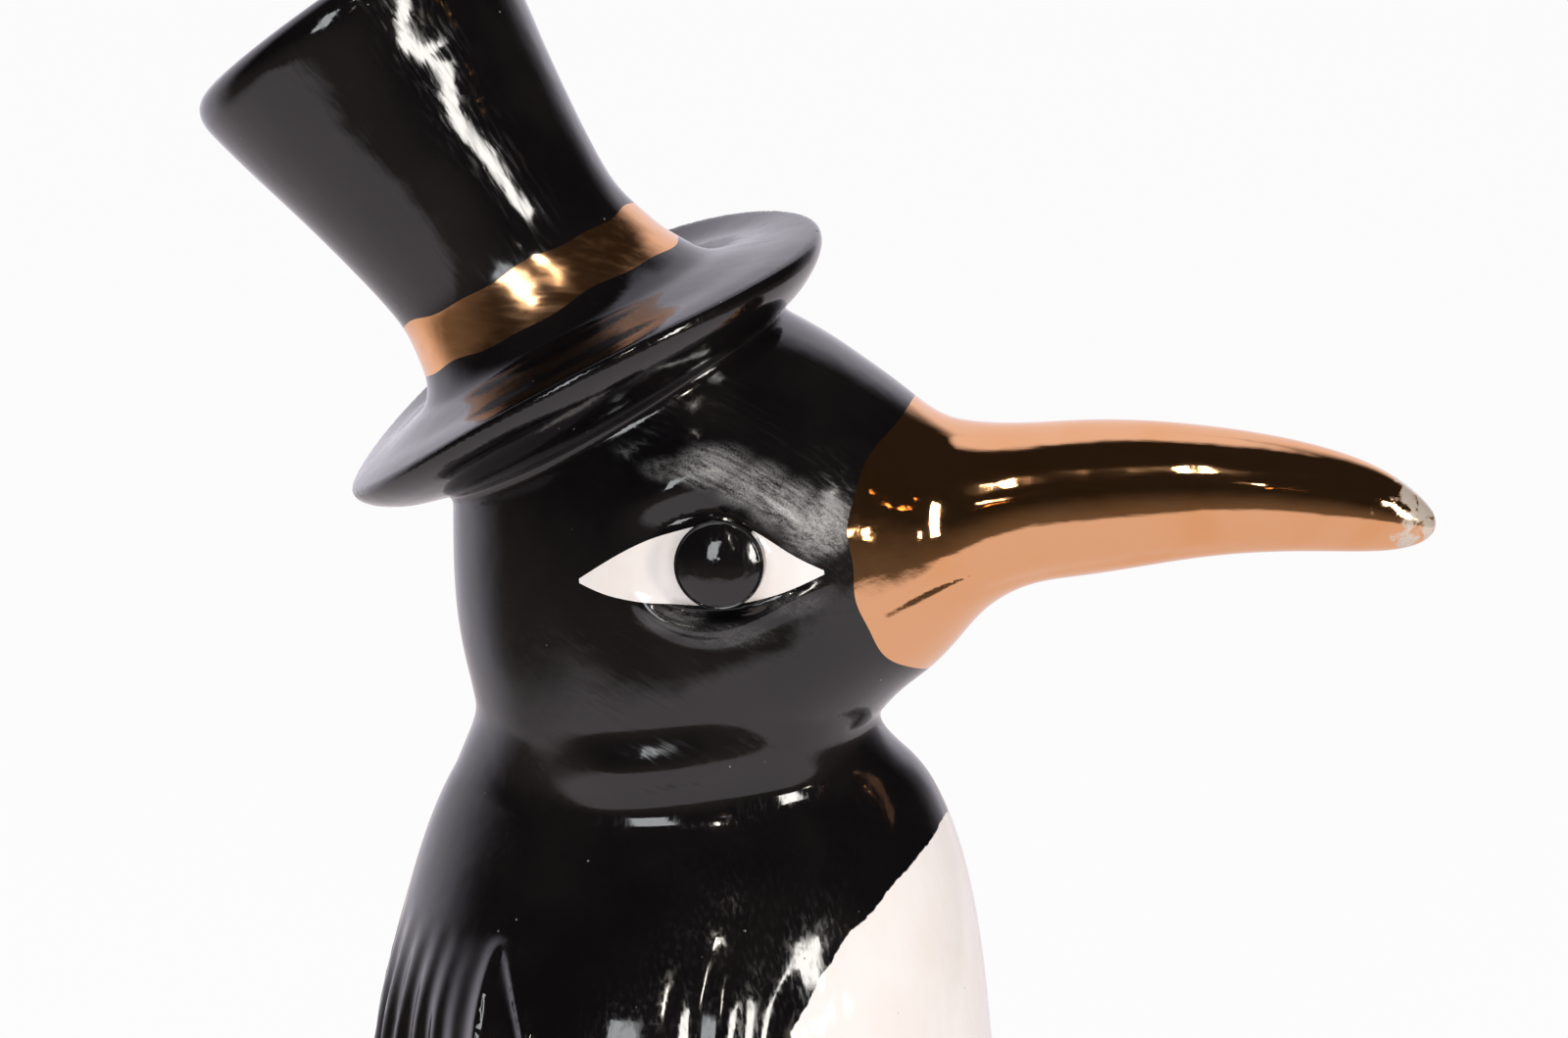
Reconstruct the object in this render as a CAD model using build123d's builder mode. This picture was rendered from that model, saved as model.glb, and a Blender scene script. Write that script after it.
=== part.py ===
from build123d import *
import math
import os
from typing import NamedTuple

# A hollow glazed figurine of a penguin in a tilted top hat. It is slip-cast in pieces that are
# luted together before firing: every cavity opens into the next one and, through the hole in
# the base, to the air. It faces +X, +Z is up, and the origin is the middle of its underside.
# Millimetres throughout.


class Section(NamedTuple):
    """One oval slice of a casting, measured from the slice before it."""

    step: float  # distance on from the slice before
    shift: float  # how far its middle lies off the axis: forward, or up in the beak
    depth: float  # front to back, or top to bottom in the beak
    width: float  # side to side


# Body, slice by slice upwards from the floor
FOOT = Section(step=1.0, shift=0.0, depth=68.0, width=66.0)
ANKLE = Section(step=19.0, shift=-0.6, depth=80.0, width=78.0)
HIP = Section(step=22.0, shift=-1.0, depth=87.5, width=85.0)
BELLY = Section(step=28.0, shift=-1.0, depth=91.0, width=88.0)
BREAST = Section(step=28.0, shift=-0.8, depth=89.0, width=84.5)
CHEST = Section(step=24.0, shift=-0.1, depth=84.0, width=77.5)
SHOULDER = Section(step=18.0, shift=0.6, depth=76.8, width=67.0)
COLLAR = Section(step=11.0, shift=0.7, depth=69.0, width=52.0)
NECK = Section(step=7.0, shift=0.2, depth=59.0, width=39.5)
NECK_TOP = Section(step=6.0, shift=-1.5, depth=42.0, width=28.0)
BODY = (FOOT, ANKLE, HIP, BELLY, BREAST, CHEST, SHOULDER, COLLAR, NECK, NECK_TOP)
BODY_WALL = 6.0

# Base disc, let into a rebate in the body's foot and standing a little proud of it
BASE_THICKNESS = 6.0
BASE_LIP = 2.5  # body wall left outside the rebate
AIR_HOLE_DIAMETER = 8.0
AIR_HOLE_BACK = 16.0  # from the middle of the underside

# Head, slice by slice upwards from where it nests in the neck
HEAD_NEST = 16.0  # how far the head sinks below the top slice of the neck
CROP = Section(step=0.0, shift=-2.0, depth=26.0, width=24.0)
JAW = Section(step=6.5, shift=-2.5, depth=46.0, width=42.0)
THROAT = Section(step=7.5, shift=-1.2, depth=54.6, width=50.0)
CHEEK = Section(step=10.0, shift=1.7, depth=64.6, width=53.0)
EYE_LINE = Section(step=16.0, shift=1.5, depth=66.4, width=53.0)
BROW = Section(step=13.0, shift=1.1, depth=63.0, width=48.5)
TEMPLE = Section(step=8.0, shift=0.1, depth=54.2, width=42.0)
POLL = Section(step=7.3, shift=-2.1, depth=37.6, width=31.0)
SKULL_TOP = Section(step=4.7, shift=-3.3, depth=21.6, width=18.0)
HEAD = (CROP, JAW, THROAT, CHEEK, EYE_LINE, BROW, TEMPLE, POLL, SKULL_TOP)
HEAD_WALL = 4.5
NECK_VENT_DIAMETER = 15.0
HAT_VENT_DIAMETER = 9.0

# Beak, slice by slice forwards; its shifts are heights above the beak line
BEAK_LINE = 41.0  # above the underside of the head
GAPE = Section(step=18.0, shift=-0.5, depth=35.0, width=44.0)
BEAK_ROOT = Section(step=9.0, shift=-0.3, depth=36.0, width=36.0)
BEAK_FLARE = Section(step=6.6, shift=-1.3, depth=33.4, width=29.0)
BEAK_WAIST = Section(step=7.4, shift=1.3, depth=25.6, width=23.5)
BEAK_BRIDGE = Section(step=12.4, shift=4.0, depth=21.2, width=19.0)
BEAK_MIDDLE = Section(step=15.8, shift=5.2, depth=18.1, width=16.0)
BEAK_HOOK = Section(step=15.7, shift=4.6, depth=14.4, width=12.5)
BEAK_NIB = Section(step=9.1, shift=3.1, depth=11.0, width=9.5)
BEAK_POINT = Section(step=5.0, shift=1.9, depth=6.5, width=6.0)
BEAK_TIP = Section(step=2.4, shift=1.3, depth=2.6, width=2.6)
BEAK = (GAPE, BEAK_ROOT, BEAK_FLARE, BEAK_WAIST, BEAK_BRIDGE)
BEAK += (BEAK_MIDDLE, BEAK_HOOK, BEAK_NIB, BEAK_POINT, BEAK_TIP)
BEAK_WALL = 3.5
BEAK_SOLID_SLICES = 3  # slices at the tip that are solid clay
GILT_EDGE_RADIUS = 25.4  # round joint between head and beak, seen from the side
GILT_EDGE_FORWARD = 49.6  # its centre, forward of the axis
GILT_EDGE_RISE = 0.4  # its centre, above the beak line

# Eyes: a low eyeball on each side, an almond of white let into it, and a domed pupil in that
EYEBALL_FORWARD = 6.8
EYEBALL_LEVEL = 40.6  # above the underside of the head
EYEBALL_RADIUS = 15.0
EYEBALL_PROUD = 2.5
PUPIL_FORWARD = 8.1
PUPIL_LEVEL = 40.2  # above the underside of the head
PUPIL_DIAMETER = 11.8
PUPIL_HEIGHT = 1.9  # top of the dome above the eyeball
PUPIL_DOME = 2.6  # top of the dome above its own edge
PUPIL_SEAT = 1.6
EYE_FRONT_REACH = 13.7  # from the pupil to the front corner
EYE_FRONT_DROP = 1.8
EYE_REAR_REACH = 19.4  # from the pupil to the rear corner
EYE_REAR_DROP = 3.2
EYE_HALF_HEIGHT = 5.4
EYE_SINK = 2.8
EYE_PROUD = 0.3

# Hat, tilted back with its front up; heights run along its own axis from the rim
HAT_TILT = 28.4
HAT_FORWARD = -14.2  # centre of the rim from the figurine's axis
HAT_SINK = 10.4  # centre of the rim below the top of the skull
BRIM_RADIUS = 36.6
BRIM_LIP = 4.4  # thickness of the rounded lip
BRIM_RISE = 9.1  # from the rim up to the foot of the crown
BRIM_DISH = 3.8  # height of the flare halfway out
BRIM_SAG = 12.3  # how far the underside falls from the rim to the hole
CROWN_FOOT_RADIUS = 19.5
CROWN_WAIST_RADIUS = 17.6
CROWN_TOP_RADIUS = 24.0
CROWN_HEIGHT = 49.0
CROWN_LEAN = 6.8  # how far the crown leans back from the hat's axis
CROWN_WALL = 4.0
CROWN_ROUNDING = 2.4
BAND_HEIGHT = 7.2
BAND_THICKNESS = 0.8
BAND_PROUD = 0.2

# Flippers: one pair of blades, slice by slice upwards, merging into the shoulders; their widths
# are what the pair adds to the width of the body
FLIPPER_TIP_LEVEL = 54.0
FLIPPER_TIP = Section(step=0.0, shift=-13.0, depth=16.0, width=-4.3)
FLIPPER_POINT = Section(step=8.0, shift=-11.0, depth=36.0, width=6.9)
FLIPPER_LOW = Section(step=14.0, shift=-8.0, depth=54.0, width=11.8)
FLIPPER_MIDDLE = Section(step=19.0, shift=-5.0, depth=64.0, width=13.1)
FLIPPER_HIGH = Section(step=23.0, shift=-3.0, depth=68.0, width=11.3)
FLIPPER_ROOT = Section(step=18.0, shift=-2.0, depth=60.0, width=5.7)
FLIPPER_TOP = Section(step=10.0, shift=-1.0, depth=32.0, width=-0.8)
FLIPPERS = (FLIPPER_TIP, FLIPPER_POINT, FLIPPER_LOW, FLIPPER_MIDDLE)
FLIPPERS += (FLIPPER_HIGH, FLIPPER_ROOT, FLIPPER_TOP)

# Feet: three webbed toes each, luted to the front of the body's foot
FOOT_SPACING = 34.0
HEEL_FORWARD = 20.0
TOE_LENGTH = 36.0  # from the heel to the tip of a toe
TOE_SPREAD = 17.0
TOE_COUNT = 3
HEEL_HEIGHT = 12.0
HEEL_WIDTH = 12.0
KNUCKLE_REACH = 24.0
KNUCKLE_HEIGHT = 8.5
KNUCKLE_WIDTH = 10.5
NAIL_LENGTH = 4.0
NAIL_HEIGHT = 4.5
NAIL_WIDTH = 6.5
NAIL_TIP_HEIGHT = 1.5
NAIL_TIP_WIDTH = 3.0
WEB_HEIGHT = 3.5
WEB_SETBACK = 6.0

# Tail: a flat wedge behind, slice by slice backwards; its shifts are heights above the floor
TAIL_START = 28.0
TAIL_ROOT = Section(step=0.0, shift=32.0, depth=36.0, width=38.0)
TAIL_MIDDLE = Section(step=18.0, shift=19.0, depth=18.0, width=32.0)
TAIL_FAN = Section(step=12.0, shift=11.0, depth=9.0, width=25.0)
TAIL_END = Section(step=7.0, shift=7.0, depth=3.0, width=14.0)
TAIL = (TAIL_ROOT, TAIL_MIDDLE, TAIL_FAN, TAIL_END)

# Levels that the pieces share
neck_top_level = sum(section.step for section in BODY)
head_level = neck_top_level - HEAD_NEST
skull_top_level = head_level + sum(section.step for section in HEAD)
beak_level = head_level + BEAK_LINE
eyeball_level = head_level + EYEBALL_LEVEL
pupil_level = head_level + PUPIL_LEVEL
beak_length = sum(section.step for section in BEAK)


def stacked_ovals(sections, base, inset=0.0, mode=Mode.ADD):
    """Loft level ovals, one above the other, into the part being built."""
    level = base
    outlines = []
    for section in sections:
        level += section.step
        with BuildSketch(Plane.XY.offset(level)) as outline:
            with Locations((section.shift, 0)):
                Ellipse(section.depth / 2 - inset, section.width / 2 - inset)
        outlines.append(outline.sketch)
    loft(outlines, mode=mode)


def upright_ovals(sections, start, height, direction=1, inset=0.0, mode=Mode.ADD):
    """Loft upright ovals, one in front of or behind the other, into the part being built."""
    reach = start
    outlines = []
    for section in sections:
        reach += section.step
        with BuildSketch(Plane.YZ.offset(direction * reach)) as outline:
            with Locations((0, height + section.shift)):
                Ellipse(section.width / 2 - inset, section.depth / 2 - inset)
        outlines.append(outline.sketch)
    loft(outlines, mode=mode)


def body_width(level):
    """Width of the body at a level, straight between its slices."""
    low_level = 0.0
    low_width = FOOT.width
    for section in BODY:
        high_level = low_level + section.step
        if level <= high_level:
            share = (level - low_level) / section.step
            return low_width + share * (section.width - low_width)
        low_level = high_level
        low_width = section.width
    return low_width


def eyed_skull(inset=0.0):
    """Add the skull and its two eyeballs to the part being built."""
    stacked_ovals(HEAD, base=head_level, inset=inset)
    with Locations(right_eyeball_middle, left_eyeball_middle):
        Sphere(EYEBALL_RADIUS - inset)


def hat_level(height, tilt=0.0):
    """Plane across the crown at a height above the rim, leaning back as the crown does."""
    lean = math.tan(math.radians(CROWN_LEAN))
    middle = hat_plane.from_local_coords(Vector((BRIM_RISE - height) * lean, 0, height))
    angle = math.radians(HAT_TILT + tilt)
    across = (math.cos(angle), 0, math.sin(angle))
    along = (-math.sin(angle), 0, math.cos(angle))
    return Plane(origin=middle, x_dir=across, z_dir=along)


def crown_loft(levels, mode=Mode.ADD):
    """Loft round slices, given as a height above the rim, a tilt and a radius."""
    outlines = []
    for height, tilt, radius in levels:
        with BuildSketch(hat_level(height, tilt)) as outline:
            Circle(radius)
        outlines.append(outline.sketch)
    loft(outlines, mode=mode)


def save(builder, name):
    """Label a finished piece and write it."""
    builder.part.label = name
    export_step(builder.part, f"parts/{name}.step")


# Outer forms that neighbouring pieces are trimmed against
with BuildPart() as body_form:
    stacked_ovals(BODY, base=0.0)

with BuildPart() as skull_form:
    stacked_ovals(HEAD, base=head_level)

# Each eyeball is a ball sunk into the skull until a low cap is left
eyeball_ray = Axis((EYEBALL_FORWARD, 0, eyeball_level), (0, -1, 0))
eyeball_point, eyeball_normal = skull_form.part.find_intersection_points(eyeball_ray)[-1]
right_eyeball_middle = eyeball_point + eyeball_normal * (EYEBALL_PROUD - EYEBALL_RADIUS)
left_eyeball_middle = Vector(right_eyeball_middle.X, -right_eyeball_middle.Y, right_eyeball_middle.Z)

with BuildPart() as head_form:
    eyed_skull()
    upright_ovals(BEAK, start=0.0, height=beak_level)

# Cavity of head and beak: the end slices stay solid, so that the ends are closed
with BuildPart() as head_cavity:
    stacked_ovals(HEAD[1:-1], base=head_level + CROP.step, inset=HEAD_WALL)
    upright_ovals(BEAK[:-BEAK_SOLID_SLICES], start=0.0, height=beak_level, inset=BEAK_WALL)

# Everything forward of the rounded joint where the black glaze meets the gilding
with BuildPart() as beak_side:
    with BuildSketch(Plane.XZ):
        with Locations((GILT_EDGE_FORWARD, beak_level + GILT_EDGE_RISE)):
            Circle(GILT_EDGE_RADIUS)
            Rectangle(beak_length, 2 * GILT_EDGE_RADIUS, align=(Align.MIN, Align.CENTER))
    extrude(amount=EYE_LINE.width, both=True)

# Pupil: a shallow dome on a short rim, square to the eyeball where it sits
pupil_ray = Axis((PUPIL_FORWARD, 0, pupil_level), (0, -1, 0))
pupil_point, pupil_normal = head_form.part.find_intersection_points(pupil_ray)[-1]
pupil_plane = Plane(origin=pupil_point, z_dir=pupil_normal)
pupil_radius = PUPIL_DIAMETER / 2

with BuildPart() as right_pupil:
    with BuildSketch(Plane(origin=pupil_point, x_dir=pupil_plane.x_dir, z_dir=-pupil_plane.y_dir)):
        with BuildLine():
            foot = Line((0, -PUPIL_SEAT), (pupil_radius, -PUPIL_SEAT))
            rim = Line(foot @ 1, (pupil_radius, PUPIL_HEIGHT - PUPIL_DOME))
            dome = RadiusArc(
                rim @ 1,
                (0, PUPIL_HEIGHT),
                -(pupil_radius**2 + PUPIL_DOME**2) / (2 * PUPIL_DOME),
            )
            Line(dome @ 1, foot @ 0)
        make_face()
    revolve(axis=Axis(pupil_point, pupil_normal))

# Almond that the eye fills, cut through to the depth of its floor
eye_front = (PUPIL_FORWARD + EYE_FRONT_REACH, pupil_level - EYE_FRONT_DROP)
eye_rear = (PUPIL_FORWARD - EYE_REAR_REACH, pupil_level - EYE_REAR_DROP)

with BuildPart() as eye_floor:
    eyed_skull(inset=EYE_SINK)

with BuildPart() as eye_skin:
    eyed_skull(inset=-EYE_PROUD)

with BuildPart() as right_eye_recess:
    with BuildSketch(Plane.XZ):
        with BuildLine():
            upper = ThreePointArc(eye_rear, (PUPIL_FORWARD, pupil_level + EYE_HALF_HEIGHT), eye_front)
            ThreePointArc(upper @ 1, (PUPIL_FORWARD, pupil_level - EYE_HALF_HEIGHT), upper @ 0)
        make_face()
    extrude(amount=EYE_LINE.width)
    add(eye_floor.part, mode=Mode.SUBTRACT)

with BuildPart() as right_eye_white:
    add(right_eye_recess.part)
    add(eye_skin.part, mode=Mode.INTERSECT)
    add(right_pupil.part, mode=Mode.SUBTRACT)

with BuildPart() as left_eye_white:
    mirror(right_eye_white.part, about=Plane.XZ)

with BuildPart() as left_pupil:
    mirror(right_pupil.part, about=Plane.XZ)

# Head: a shell with the two eye recesses, open to the neck, the hat and the beak
with BuildPart() as head:
    add(head_form.part)
    add(head_cavity.part, mode=Mode.SUBTRACT)
    add(beak_side.part, mode=Mode.SUBTRACT)
    add(right_eye_recess.part, mode=Mode.SUBTRACT)
    add(right_pupil.part, mode=Mode.SUBTRACT)
    mirror(right_eye_recess.part, about=Plane.XZ, mode=Mode.SUBTRACT)
    mirror(right_pupil.part, about=Plane.XZ, mode=Mode.SUBTRACT)
    with BuildSketch(Plane.XY.offset(head_level)):
        with Locations((CROP.shift, 0)):
            Circle(NECK_VENT_DIAMETER / 2)
    extrude(amount=JAW.step + HEAD_WALL, mode=Mode.SUBTRACT)
    with BuildSketch(Plane.XY.offset(skull_top_level)):
        with Locations((SKULL_TOP.shift, 0)):
            Circle(HAT_VENT_DIAMETER / 2)
    extrude(amount=-SKULL_TOP.step - HEAD_WALL, mode=Mode.SUBTRACT)

# Beak: the gilded cone, hollow as far as its solid tip
with BuildPart() as beak:
    add(head_form.part)
    add(beak_side.part, mode=Mode.INTERSECT)
    add(head_cavity.part, mode=Mode.SUBTRACT)

# Body: a shell with a rebate for the base disc, its neck shaped to the head that sits in it
base_depth = FOOT.depth - 2 * BASE_LIP
base_width = FOOT.width - 2 * BASE_LIP

with BuildPart() as body:
    add(body_form.part)
    stacked_ovals(BODY, base=0.0, inset=BODY_WALL, mode=Mode.SUBTRACT)
    with BuildSketch():
        with Locations((FOOT.shift, 0)):
            Ellipse(base_depth / 2, base_width / 2)
    extrude(amount=BASE_THICKNESS, mode=Mode.SUBTRACT)
    add(skull_form.part, mode=Mode.SUBTRACT)

with BuildPart() as base_disc:
    with BuildSketch():
        with Locations((FOOT.shift, 0)):
            Ellipse(base_depth / 2, base_width / 2)
        with Locations((-AIR_HOLE_BACK, 0)):
            Circle(AIR_HOLE_DIAMETER / 2, mode=Mode.SUBTRACT)
    extrude(amount=BASE_THICKNESS)

# Hat: brim trimmed to the skull, hollow crown on the brim, gilded band round the crown's foot
hat_angle = math.radians(HAT_TILT)
hat_axis_direction = (-math.sin(hat_angle), 0, math.cos(hat_angle))
hat_middle = (HAT_FORWARD, 0, skull_top_level - HAT_SINK)
hat_front = (math.cos(hat_angle), 0, math.sin(hat_angle))
hat_plane = Plane(origin=hat_middle, x_dir=hat_front, z_dir=hat_axis_direction)
brim_hole = CROWN_FOOT_RADIUS - CROWN_WALL
lip_start = BRIM_RADIUS - BRIM_LIP / 2

with BuildPart() as hat_brim:
    with BuildSketch(Plane(origin=hat_middle, x_dir=hat_plane.x_dir, z_dir=-hat_plane.y_dir)):
        with BuildLine():
            land = Line((brim_hole, BRIM_RISE), (CROWN_FOOT_RADIUS, BRIM_RISE))
            flare = Spline(
                land @ 1,
                ((CROWN_FOOT_RADIUS + lip_start) / 2, BRIM_DISH),
                (lip_start, BRIM_LIP / 2),
            )
            lip = ThreePointArc(flare @ 1, (BRIM_RADIUS, 0), (lip_start, -BRIM_LIP / 2))
            under = Line(lip @ 1, (brim_hole, -BRIM_SAG))
            Line(under @ 1, land @ 0)
        make_face()
    revolve(axis=Axis(hat_middle, hat_axis_direction))
    add(skull_form.part, mode=Mode.SUBTRACT)

waist = BRIM_RISE + BAND_HEIGHT
crown_top = BRIM_RISE + CROWN_HEIGHT
crown_middle = (waist + crown_top) / 2
middle_radius = (CROWN_WAIST_RADIUS + CROWN_TOP_RADIUS) / 2

with BuildPart() as hat_band:
    foot_level = (BRIM_RISE, 0.0)
    waist_level = (waist, 0.0)
    crown_loft(
        [
            (*foot_level, CROWN_FOOT_RADIUS + BAND_PROUD),
            (*waist_level, CROWN_WAIST_RADIUS + BAND_PROUD),
        ]
    )
    crown_loft(
        [
            (*foot_level, CROWN_FOOT_RADIUS + BAND_PROUD - BAND_THICKNESS),
            (*waist_level, CROWN_WAIST_RADIUS + BAND_PROUD - BAND_THICKNESS),
        ],
        mode=Mode.SUBTRACT,
    )

with BuildPart() as hat_crown:
    crown_loft(
        [
            (BRIM_RISE, 0.0, CROWN_FOOT_RADIUS),
            (waist, 0.0, CROWN_WAIST_RADIUS),
            (crown_middle, CROWN_LEAN / 2, middle_radius),
            (crown_top, CROWN_LEAN, CROWN_TOP_RADIUS),
        ]
    )
    fillet(faces().sort_by(Axis.Z)[-1].edges(), CROWN_ROUNDING)
    crown_loft(
        [
            (BRIM_RISE, 0.0, CROWN_FOOT_RADIUS - CROWN_WALL),
            (waist, 0.0, CROWN_WAIST_RADIUS - CROWN_WALL),
            (crown_middle, CROWN_LEAN / 2, middle_radius - CROWN_WALL),
            (crown_top - CROWN_WALL, CROWN_LEAN, CROWN_TOP_RADIUS - CROWN_WALL),
        ],
        mode=Mode.SUBTRACT,
    )
    add(hat_band.part, mode=Mode.SUBTRACT)

# Flippers: the blades stand out of the flanks, one on each side
flipper_level = FLIPPER_TIP_LEVEL
flipper_slices = []
for section in FLIPPERS:
    flipper_level += section.step
    flipper_slices.append(section._replace(width=section.width + body_width(flipper_level)))

with BuildPart() as right_flipper:
    stacked_ovals(flipper_slices, base=FLIPPER_TIP_LEVEL)
    add(body_form.part, mode=Mode.SUBTRACT)
    split(bisect_by=Plane.XZ, keep=Keep.TOP)

with BuildPart() as left_flipper:
    mirror(right_flipper.part, about=Plane.XZ)

# Feet: the toes fan out from a heel inside the body, with a thin web between them
foot_plane = Plane(origin=(HEEL_FORWARD, -FOOT_SPACING / 2, FOOT.step))
toe_angles = [TOE_SPREAD * (index - (TOE_COUNT - 1) / 2) for index in range(TOE_COUNT)]
toe_slices = (
    (0.0, HEEL_HEIGHT, HEEL_WIDTH),
    (KNUCKLE_REACH, KNUCKLE_HEIGHT, KNUCKLE_WIDTH),
    (TOE_LENGTH - NAIL_LENGTH, NAIL_HEIGHT, NAIL_WIDTH),
    (TOE_LENGTH, NAIL_TIP_HEIGHT, NAIL_TIP_WIDTH),
)

with BuildPart() as right_foot:
    for angle in toe_angles:
        toe_line = foot_plane.rotated((0, 0, angle))
        toe_outlines = []
        for reach, height, width in toe_slices:
            middle = toe_line.from_local_coords(Vector(reach, 0, 0))
            across = Plane(origin=middle, x_dir=toe_line.y_dir, z_dir=toe_line.x_dir)
            with BuildSketch(across, mode=Mode.PRIVATE) as toe_outline:
                Ellipse(width / 2, height)
            toe_outlines.append(toe_outline.sketch)
        loft(toe_outlines)
    with BuildSketch(foot_plane):
        Circle(HEEL_WIDTH / 2)
        for angle in toe_angles:
            with PolarLocations(TOE_LENGTH - WEB_SETBACK, 1, angle):
                Circle(NAIL_WIDTH / 2)
        make_hull()
    extrude(amount=WEB_HEIGHT)
    split(bisect_by=foot_plane, keep=Keep.TOP)
    add(body_form.part, mode=Mode.SUBTRACT)
    add(base_disc.part, mode=Mode.SUBTRACT)

with BuildPart() as left_foot:
    mirror(right_foot.part, about=Plane.XZ)

with BuildPart() as tail:
    upright_ovals(TAIL, start=TAIL_START, height=0.0, direction=-1)
    add(body_form.part, mode=Mode.SUBTRACT)

pieces = {
    "body": body,
    "base_disc": base_disc,
    "head": head,
    "beak": beak,
    "right_eye_white": right_eye_white,
    "left_eye_white": left_eye_white,
    "right_pupil": right_pupil,
    "left_pupil": left_pupil,
    "hat_brim": hat_brim,
    "hat_crown": hat_crown,
    "hat_band": hat_band,
    "right_flipper": right_flipper,
    "left_flipper": left_flipper,
    "right_foot": right_foot,
    "left_foot": left_foot,
    "tail": tail,
}
for piece_name, piece in pieces.items():
    save(piece, piece_name)
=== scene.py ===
"""A glazed penguin figurine in a tilted top hat, sculpted and dressed around its packed castings.

The figure faces +X and stands on Z = 0. The camera looks at its right side, which is -Y.
Sizes in the classes are millimetres. Meshes are made in metres, in the frame's own axes.
"""

import logging
import math
from dataclasses import dataclass, field
from enum import Enum
from typing import Callable, NamedTuple, Sequence, Union

import bpy
import numpy as np
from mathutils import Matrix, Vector


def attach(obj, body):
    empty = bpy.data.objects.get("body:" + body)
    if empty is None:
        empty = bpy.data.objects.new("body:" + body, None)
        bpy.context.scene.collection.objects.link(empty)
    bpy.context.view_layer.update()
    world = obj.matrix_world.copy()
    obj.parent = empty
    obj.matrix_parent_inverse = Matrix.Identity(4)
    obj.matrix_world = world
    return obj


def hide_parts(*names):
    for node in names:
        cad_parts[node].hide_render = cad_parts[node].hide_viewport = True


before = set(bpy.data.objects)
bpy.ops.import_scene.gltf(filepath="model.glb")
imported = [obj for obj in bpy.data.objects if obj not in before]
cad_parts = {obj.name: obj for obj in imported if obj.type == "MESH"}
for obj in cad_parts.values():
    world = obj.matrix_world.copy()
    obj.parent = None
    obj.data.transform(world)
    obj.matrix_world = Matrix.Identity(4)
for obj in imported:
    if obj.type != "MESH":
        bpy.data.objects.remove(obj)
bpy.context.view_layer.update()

Array = np.ndarray
Form = Callable[[Array, Array, Array], Array]
Colour = tuple[float, float, float, float]

MM = 0.001
log = logging.getLogger("penguin")


class Side(Enum):
    """The figurine's own right and left, as the sign of Y."""

    RIGHT = -1
    LEFT = 1


class Oval(NamedTuple):
    """One oval slice of a casting: where it lies along the casting, and its size."""

    level: float
    shift: float
    depth: float
    width: float


class Curve:
    """A smooth line through a few stations, straight-ended and flat beyond them."""

    def __init__(self, *stations: tuple[float, float]) -> None:
        """Fit a natural cubic spline.

        Args:
            stations: pairs of place and value, in rising order of place.
        """
        self.places, self.values = np.array(stations, float).T
        self.gaps = np.diff(self.places)
        slopes = np.diff(self.values) / self.gaps
        count = len(self.places)
        matrix = np.eye(count)
        right = np.zeros(count)
        for i in range(1, count - 1):
            matrix[i, i - 1 : i + 2] = (
                self.gaps[i - 1],
                2 * (self.gaps[i - 1] + self.gaps[i]),
                self.gaps[i],
            )
            right[i] = 6 * (slopes[i] - slopes[i - 1])
        self.bends = np.linalg.solve(matrix, right)

    def __call__(self, place: Array) -> Array:
        """Return the value of the line at each place."""
        inside = np.clip(place, self.places[0], self.places[-1])
        i = np.clip(np.searchsorted(self.places, inside) - 1, 0, len(self.gaps) - 1)
        gap = self.gaps[i]
        far = (inside - self.places[i]) / gap
        near = 1 - far
        bend = (near**3 - near) * self.bends[i] + (far**3 - far) * self.bends[i + 1]
        return near * self.values[i] + far * self.values[i + 1] + bend * gap**2 / 6


def smooth_min(first: Array, second: Array, fillet: float) -> Array:
    """Join two forms with a fillet of about the given size."""
    near = np.maximum(fillet - np.abs(first - second), 0) / fillet
    return np.minimum(first, second) - near * near * fillet / 4


def smooth_max(first: Array, second: Array, fillet: float) -> Array:
    """Trim one form by another with a rounded edge."""
    return -smooth_min(-first, -second, fillet)


def ramp(value: Array, start: float, end: float) -> Array:
    """Rise smoothly from 0 at start to 1 at end."""
    t = np.clip((value - start) / (end - start), 0, 1)
    return t * t * (3 - 2 * t)


def ridge(offset: Array, half_width: float) -> Array:
    """A soft ridge, 1 high, that dies out over about twice its half width."""
    return np.exp(-((offset / half_width) ** 2))


class Stroke:
    """A ridge or groove drawn over a flank as a smooth line, alike on both sides."""

    def __init__(self, height: float, half_width: float, *line: tuple[float, float]) -> None:
        """Fit a smooth line.

        Args:
            height: how far the stroke stands out, negative for a groove.
            half_width: how wide it is to each side.
            line: points of the line, forward and up.
        """
        self.height = height
        self.half_width = half_width
        count = np.arange(len(line))
        fine = np.linspace(0, count[-1], 5 * count[-1] + 1)
        self.forward = Curve(*zip(count, [p[0] for p in line]))(fine)
        self.up = Curve(*zip(count, [p[1] for p in line]))(fine)

    def __call__(self, x: Array, z: Array) -> Array:
        """Return how far the surface rises at some points."""
        nearest = None
        for i in range(len(self.forward) - 1):
            run = self.forward[i + 1] - self.forward[i]
            rise = self.up[i + 1] - self.up[i]
            ahead = ((x - self.forward[i]) * run + (z - self.up[i]) * rise) / (run**2 + rise**2)
            ahead = np.clip(ahead, 0, 1)
            away = (x - self.forward[i] - ahead * run) ** 2 + (z - self.up[i] - ahead * rise) ** 2
            nearest = away if nearest is None else np.minimum(nearest, away)
        return self.height * np.exp(-nearest / self.half_width**2)


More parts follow.
